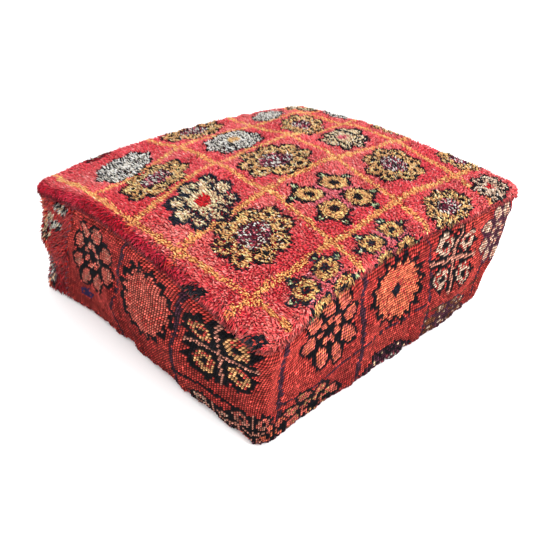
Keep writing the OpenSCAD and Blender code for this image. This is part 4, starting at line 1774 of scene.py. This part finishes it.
class EffectGroups:
    """The shader effects that several finishes share, each built once."""

    def __init__(self) -> None:
        """Builds every group."""
        self.mottle = self._mottle()
        self.fibre = self._fibre()
        self.weave = self._weave()
        self.wear = self._wear()

    def _start(
        self, name: str, inputs: dict[str, tuple[str, object]], outputs: dict[str, str]
    ) -> tuple[bpy.types.NodeTree, Nodes, bpy.types.Node, bpy.types.Node]:
        """Makes an empty group with named sockets.

        Args:
            name: The group's name.
            inputs: Each input's socket type and first value.
            outputs: Each output's socket type.

        Returns:
            The tree, its helper, and its input and output nodes.
        """
        tree = bpy.data.node_groups.new(name, "ShaderNodeTree")
        for label, (kind, value) in inputs.items():
            socket = tree.interface.new_socket(name=label, in_out="INPUT", socket_type=kind)
            socket.default_value = value
        for label, kind in outputs.items():
            tree.interface.new_socket(name=label, in_out="OUTPUT", socket_type=kind)
        nodes = Nodes(tree)
        return tree, nodes, nodes.add("NodeGroupInput"), nodes.add("NodeGroupOutput")

    def _mottle(self) -> bpy.types.NodeTree:
        """Makes uneven dye: slow abrash over the whole cloth and flecks from fibre to fibre.

        Returns:
            The group.
        """
        tree, n, given, result = self._start(
            "uneven_dye",
            {
                "Colour": ("NodeSocketColor", (0.5, 0.5, 0.5, 1)),
                "Fleck Scale": ("NodeSocketFloat", 700.0),
                "Fleck": ("NodeSocketFloat", 0.3),
                "Abrash": ("NodeSocketFloat", 0.15),
            },
            {"Colour": "NodeSocketColor", "Roughness": "NodeSocketFloat"},
        )
        place = n.add("ShaderNodeTexCoord").outputs["Object"]
        fleck = n.add("ShaderNodeTexNoise", Detail=3.0, Roughness=0.65)
        n.link(place, fleck.inputs["Vector"])
        n.link(given.outputs["Fleck Scale"], fleck.inputs["Scale"])
        slow = n.add("ShaderNodeTexNoise", Scale=9.0, Detail=3.0, Roughness=0.6)
        n.link(place, slow.inputs["Vector"])
        tone = n.math("MULTIPLY", n.math("SUBTRACT", fleck.outputs["Fac"], 0.5), given.outputs["Fleck"])
        wide = n.math("MULTIPLY", n.math("SUBTRACT", slow.outputs["Fac"], 0.5), given.outputs["Abrash"])
        total = n.math("ADD", n.math("MULTIPLY", n.math("ADD", tone, wide), 2.4), 1.0)
        scaled = n.add("ShaderNodeVectorMath", operation="SCALE")
        n.link(given.outputs["Colour"], scaled.inputs[0])
        n.link(total, scaled.inputs["Scale"])
        n.link(scaled.outputs["Vector"], result.inputs["Colour"])
        n.link(n.math("ADD", n.math("MULTIPLY", fleck.outputs["Fac"], 0.2), 0.74), result.inputs["Roughness"])
        return tree

    def _fibre(self) -> bpy.types.NodeTree:
        """Makes fine hairs, drawn out along one way.

        Returns:
            The group.
        """
        tree, n, given, result = self._start(
            "fibres",
            {
                "Scale": ("NodeSocketFloat", 900.0),
                "Stretch": ("NodeSocketVector", (1.0, 0.3, 0.6)),
            },
            {"Height": "NodeSocketFloat"},
        )
        place = n.add("ShaderNodeTexCoord").outputs["Object"]
        drawn = n.add("ShaderNodeVectorMath", operation="MULTIPLY")
        n.link(place, drawn.inputs[0])
        n.link(given.outputs["Stretch"], drawn.inputs[1])
        hair = n.add("ShaderNodeTexNoise", Detail=4.0, Roughness=0.7)
        n.link(drawn.outputs["Vector"], hair.inputs["Vector"])
        n.link(given.outputs["Scale"], hair.inputs["Scale"])
        n.link(hair.outputs["Fac"], result.inputs["Height"])
        return tree

    def _weave(self) -> bpy.types.NodeTree:
        """Makes over-and-under threads on flat coordinates.

        Returns:
            The group.
        """
        tree, n, given, result = self._start(
            "plain_weave",
            {
                "Vector": ("NodeSocketVector", (0.0, 0.0, 0.0)),
                "Pitch": ("NodeSocketFloat", 0.002),
            },
            {"Height": "NodeSocketFloat", "Gap": "NodeSocketFloat"},
        )
        parts = n.add("ShaderNodeSeparateXYZ")
        n.link(given.outputs["Vector"], parts.inputs[0])
        waves = []
        for axis in ("X", "Y"):
            turns = n.math("DIVIDE", parts.outputs[axis], given.outputs["Pitch"])
            waves.append(n.math("SINE", n.math("MULTIPLY", turns, math.pi)))
        product = n.math("MULTIPLY", waves[0], waves[1])
        rounds = n.math("ABSOLUTE", product)
        height = n.math("ADD", n.math("MULTIPLY", product, 0.35), n.math("POWER", rounds, 0.5))
        n.link(height, result.inputs["Height"])
        n.link(n.math("SUBTRACT", 1.0, n.math("POWER", rounds, 0.35)), result.inputs["Gap"])
        return tree

    def _wear(self) -> bpy.types.NodeTree:
        """Makes a mask of rubbed edges, broken up by scratches.

        Returns:
            The group.
        """
        tree, n, given, result = self._start(
            "edge_wear",
            {"Amount": ("NodeSocketFloat", 0.6), "Scale": ("NodeSocketFloat", 900.0)},
            {"Mask": "NodeSocketFloat"},
        )
        point = n.add("ShaderNodeNewGeometry").outputs["Pointiness"]
        place = n.add("ShaderNodeTexCoord").outputs["Object"]
        noise = n.add("ShaderNodeTexNoise", Detail=4.0)
        n.link(place, noise.inputs["Vector"])
        n.link(given.outputs["Scale"], noise.inputs["Scale"])
        sharp = n.math("MULTIPLY", n.math("SUBTRACT", point, 0.5), 9.0)
        broken = n.math("ADD", sharp, n.math("SUBTRACT", noise.outputs["Fac"], 0.45))
        mask = n.math("MULTIPLY", broken, given.outputs["Amount"])
        node = n.add("ShaderNodeClamp")
        n.link(mask, node.inputs[0])
        n.link(node.outputs[0], result.inputs["Mask"])
        return tree


@dataclass(frozen=True)
class YarnFinish:
    """Dyed wool or cotton yarn, coloured from the chart or in one dye."""

    name: str
    dye: Optional[Dye] = None
    depth: float = 0.6
    sheen: float = 0.08
    fleck: float = 0.3
    fleck_scale: float = 700.0
    abrash: float = 0.15
    fibre_scale: float = 900.0
    fibre_bump: float = 0.35
    weave_pitch: float = 0.0
    weave_bump: float = 0.0

    def make(self, groups: EffectGroups) -> bpy.types.Material:
        """Builds the material.

        Args:
            groups: The shared effects.

        Returns:
            The material.
        """
        material = bpy.data.materials.new(self.name)
        material.use_nodes = True
        tree = material.node_tree
        n = Nodes(tree)
        shader = tree.nodes["Principled BSDF"]
        shader.inputs["Sheen Weight"].default_value = self.sheen
        shader.inputs["Sheen Roughness"].default_value = 0.5
        shader.inputs["Specular IOR Level"].default_value = 0.08
        mottle = n.add("ShaderNodeGroup", node_tree=groups.mottle)
        mottle.inputs["Fleck Scale"].default_value = self.fleck_scale
        mottle.inputs["Fleck"].default_value = self.fleck
        mottle.inputs["Abrash"].default_value = self.abrash
        if self.dye is None:
            chart = n.add("ShaderNodeAttribute", attribute_name="dye")
            n.link(chart.outputs["Color"], mottle.inputs["Colour"])
        else:
            mottle.inputs["Colour"].default_value = rgba(self.dye, self.depth)
        colour = mottle.outputs["Colour"]
        fibre = n.add("ShaderNodeGroup", node_tree=groups.fibre)
        fibre.inputs["Scale"].default_value = self.fibre_scale
        height = fibre.outputs["Height"]
        if self.weave_pitch:
            weave = n.add("ShaderNodeGroup", node_tree=groups.weave)
            weave.inputs["Pitch"].default_value = self.weave_pitch
            n.link(n.add("ShaderNodeTexCoord").outputs["Object"], weave.inputs["Vector"])
            height = n.math("ADD", n.math("MULTIPLY", weave.outputs["Height"], self.weave_bump), height)
            # Painted shade: the gaps between the woven threads are darkened.
            weave_gap_shade = n.math("MULTIPLY", weave.outputs["Gap"], 0.55)
            colour = n.mix(weave_gap_shade, colour, (0.02, 0.008, 0.008, 1))
        bump = n.add("ShaderNodeBump")
        bump.inputs["Strength"].default_value = self.fibre_bump
        bump.inputs["Distance"].default_value = 0.0012
        n.link(height, bump.inputs["Height"])
        n.link(bump.outputs["Normal"], shader.inputs["Normal"])
        n.link(colour, shader.inputs["Base Color"])
        n.link(mottle.outputs["Roughness"], shader.inputs["Roughness"])
        return material


@dataclass(frozen=True)
class MetalFinish:
    """Plated zip metal, rubbed bright along its edges."""

    name: str
    plate: tuple[float, float, float] = (0.40, 0.36, 0.30)
    bright: tuple[float, float, float] = (0.80, 0.76, 0.68)

    def make(self, groups: EffectGroups) -> bpy.types.Material:
        """Builds the material.

        Args:
            groups: The shared effects.

        Returns:
            The material.
        """
        material = bpy.data.materials.new(self.name)
        material.use_nodes = True
        tree = material.node_tree
        n = Nodes(tree)
        shader = tree.nodes["Principled BSDF"]
        shader.inputs["Metallic"].default_value = 1.0
        wear = n.add("ShaderNodeGroup", node_tree=groups.wear)
        mottle = n.add("ShaderNodeGroup", node_tree=groups.mottle)
        mottle.inputs["Colour"].default_value = (*self.plate, 1)
        mottle.inputs["Fleck Scale"].default_value = 500.0
        mottle.inputs["Fleck"].default_value = 0.18
        colour = n.mix(wear.outputs["Mask"], mottle.outputs["Colour"], (*self.bright, 1))
        n.link(colour, shader.inputs["Base Color"])
        rough = n.math("SUBTRACT", 0.46, n.math("MULTIPLY", wear.outputs["Mask"], 0.2))
        n.link(rough, shader.inputs["Roughness"])
        fibre = n.add("ShaderNodeGroup", node_tree=groups.fibre)
        fibre.inputs["Scale"].default_value = 1400.0
        bump = n.add("ShaderNodeBump")
        bump.inputs["Strength"].default_value = 0.08
        bump.inputs["Distance"].default_value = 0.0004
        n.link(fibre.outputs["Height"], bump.inputs["Height"])
        n.link(bump.outputs["Normal"], shader.inputs["Normal"])
        return material


@dataclass
class Zip:
    """The zip, whose CAD pieces keep their shape and get their finishes."""

    tape_pitch: float = 0.0007
    tape_nodes: tuple[str, ...] = ("zip_tape_front", "zip_tape_rear")
    thread_nodes: tuple[str, ...] = ("zip_thread_front", "zip_thread_rear")
    teeth_nodes: tuple[str, ...] = ("zip_teeth_front", "zip_teeth_rear", "zip_top_stops", "zip_bottom_stop")
    metal_nodes: tuple[str, ...] = ("zip_slider", "zip_pull")

    def dress(self, groups: EffectGroups) -> None:
        """Gives every zip node its finish.

        Args:
            groups: The shared effects.
        """
        tape = YarnFinish(
            "zip_tape_cotton",
            Dye.INK,
            sheen=0.2,
            weave_pitch=self.tape_pitch,
            weave_bump=0.8,
            fibre_bump=0.5,
        )
        for finish, nodes in (
            (tape, self.tape_nodes),
            (YarnFinish("zip_sewing_thread", Dye.MAUVE, fibre_scale=2600, fibre_bump=0.4), self.thread_nodes),
            (MetalFinish("zip_teeth_brass", (0.42, 0.31, 0.14), (0.82, 0.68, 0.40)), self.teeth_nodes),
            (MetalFinish("zip_slider_metal"), self.metal_nodes),
        ):
            material = finish.make(groups)
            for node in nodes:
                dress_node(node, material)


@dataclass
class Studio:
    """The pale floor, the soft lights and the camera."""

    azimuth: float = 46.31
    elevation: float = 33.226
    roll: float = 2.056
    place: tuple[float, float, float] = (771.8, -737.2, 720.1)
    lens: float = 42.37622
    floor_half: float = 30.0
    sky: float = 1.55

    def build(self) -> None:
        """Sets up the floor, the lights and the camera."""
        self._floor()
        self._lights()
        self._camera()

    def _floor(self) -> None:
        """Lays a wide pale floor."""
        mesh = bpy.data.meshes.new("studio_floor")
        half = self.floor_half
        corners = [(-half, -half, 0), (half, -half, 0), (half, half, 0), (-half, half, 0)]
        mesh.from_pydata(corners, [], [(0, 1, 2, 3)])
        floor = bpy.data.objects.new("studio_floor", mesh)
        bpy.context.scene.collection.objects.link(floor)
        material = bpy.data.materials.new("studio_floor")
        material.use_nodes = True
        n = Nodes(material.node_tree)
        shader = material.node_tree.nodes["Principled BSDF"]
        noise = n.add("ShaderNodeTexNoise", Scale=3.0, Detail=2.0)
        colour = n.mix(noise.outputs["Fac"], (0.92, 0.92, 0.92, 1), (0.95, 0.95, 0.95, 1))
        n.link(colour, shader.inputs["Base Color"])
        shader.inputs["Roughness"].default_value = 0.9
        shader.inputs["Specular IOR Level"].default_value = 0.0
        mesh.materials.append(material)

    def _lights(self) -> None:
        """Hangs broad soft lights over and beside the cushion."""
        world = bpy.data.worlds.new("studio")
        bpy.context.scene.world = world
        world.use_nodes = True
        back = world.node_tree.nodes["Background"]
        back.inputs["Color"].default_value = (1, 1, 1, 1)
        back.inputs["Strength"].default_value = self.sky
        for name, place, size, power in (
            ("key", (1.9, 0.1, 1.35), 1.3, 48.0),
            ("back", (-0.4, 1.9, 1.7), 1.8, 16.0),
            ("front", (0.5, -2.2, 1.5), 1.8, 4.0),
        ):
            lamp = bpy.data.lights.new(name, "AREA")
            lamp.size = size
            lamp.energy = power
            obj = bpy.data.objects.new(name, lamp)
            bpy.context.scene.collection.objects.link(obj)
            obj.location = place
            aim = Vector((0, 0, 0.15)) - Vector(place)
            obj.rotation_euler = aim.to_track_quat("-Z", "Y").to_euler()

    def _camera(self) -> None:
        """Stands the camera in front of the cushion's right-hand front corner."""
        data = bpy.data.cameras.new("camera")
        data.sensor_width = 36.0
        data.lens = self.lens
        data.clip_start = 0.01
        data.clip_end = 100.0
        camera = bpy.data.objects.new("camera", data)
        bpy.context.scene.collection.objects.link(camera)
        az, el, roll = (math.radians(a) for a in (self.azimuth, self.elevation, self.roll))
        ahead = Vector((-math.sin(az) * math.cos(el), math.cos(az) * math.cos(el), -math.sin(el)))
        right = Vector((math.cos(az), math.sin(az), 0))
        up = right.cross(ahead)
        side = right * math.cos(roll) + up * math.sin(roll)
        over = up * math.cos(roll) - right * math.sin(roll)
        turn = Matrix((side, over, -ahead)).transposed().to_4x4()
        camera.matrix_world = Matrix.Translation(Vector(self.place) * MM) @ turn
        bpy.context.scene.camera = camera
        bpy.context.scene.view_settings.view_transform = "Standard"


def main() -> None:
    """Builds the cushion, piece by piece, and the studio round it."""
    logging.basicConfig(level=logging.INFO, format="%(message)s")
    Studio().build()
    form = CushionForm.from_frame()
    groups = EffectGroups()
    pile = YarnFinish("rug_pile", fleck=0.34, fleck_scale=420, fibre_scale=700, fibre_bump=0.5)
    side_pile = replace(pile, name="rug_pile_side")
    backs = YarnFinish("rug_knot_backs", sheen=0.0, fleck_scale=600, fibre_scale=800, fibre_bump=0.5)
    thread = YarnFinish("seam_thread_waxed", Dye.PLUM, sheen=0.2, fibre_scale=2400).make(groups)
    base = YarnFinish(
        "base_cloth_cotton", Dye.BRICK, sheen=0.25, fleck=0.2, weave_pitch=0.0011, weave_bump=0.9
    )
    calico = YarnFinish(
        "pad_calico", Dye.CREAM, sheen=0.15, fleck=0.15, weave_pitch=0.0008, weave_bump=0.7
    )
    calico_thread = YarnFinish("pad_case_thread", Dye.WHITE, sheen=0.15, fibre_scale=2600)
    stuffing = YarnFinish(
        "pad_stuffing", Dye.WHITE, sheen=0.3, fleck=0.25, fleck_scale=120, fibre_scale=160, fibre_bump=0.8
    )
    side_cloth = SideCloth(form)
    front_join = JoinLine(84, 190)
    rear_join = JoinLine(1310, 1310)
    front_join_again = JoinLine(form.girth + front_join.foot, form.girth + front_join.head)
    TopPanel(TopCloth(form)).build(pile.make(groups))
    KnotBackBand(side_cloth, front_join, rear_join, FRONT_CHART).build(backs.make(groups))
    PileBand(side_cloth, rear_join, front_join_again, REAR_CHART).build(side_pile.make(groups))
    sewing = Stitching(side_cloth)
    sewing.ring_seam("top_seam_stitches", "top_seam_thread", 0.945, 0.985, thread)
    sewing.ring_seam("base_seam_stitches", "base_seam_thread", 0.012, 0.05, thread)
    sewing.join_seam("band_join_stitches_front", "band_join_thread_front", front_join, thread)
    sewing.join_seam("band_join_stitches_rear", "band_join_thread_rear", rear_join, thread)
    BasePanels(form).build(base.make(groups))
    dress_node("base_join_thread", thread)
    Pad(form).build(stuffing.make(groups), calico.make(groups), calico_thread.make(groups))
    Zip().dress(groups)


if __name__ == "__main__":
    main()
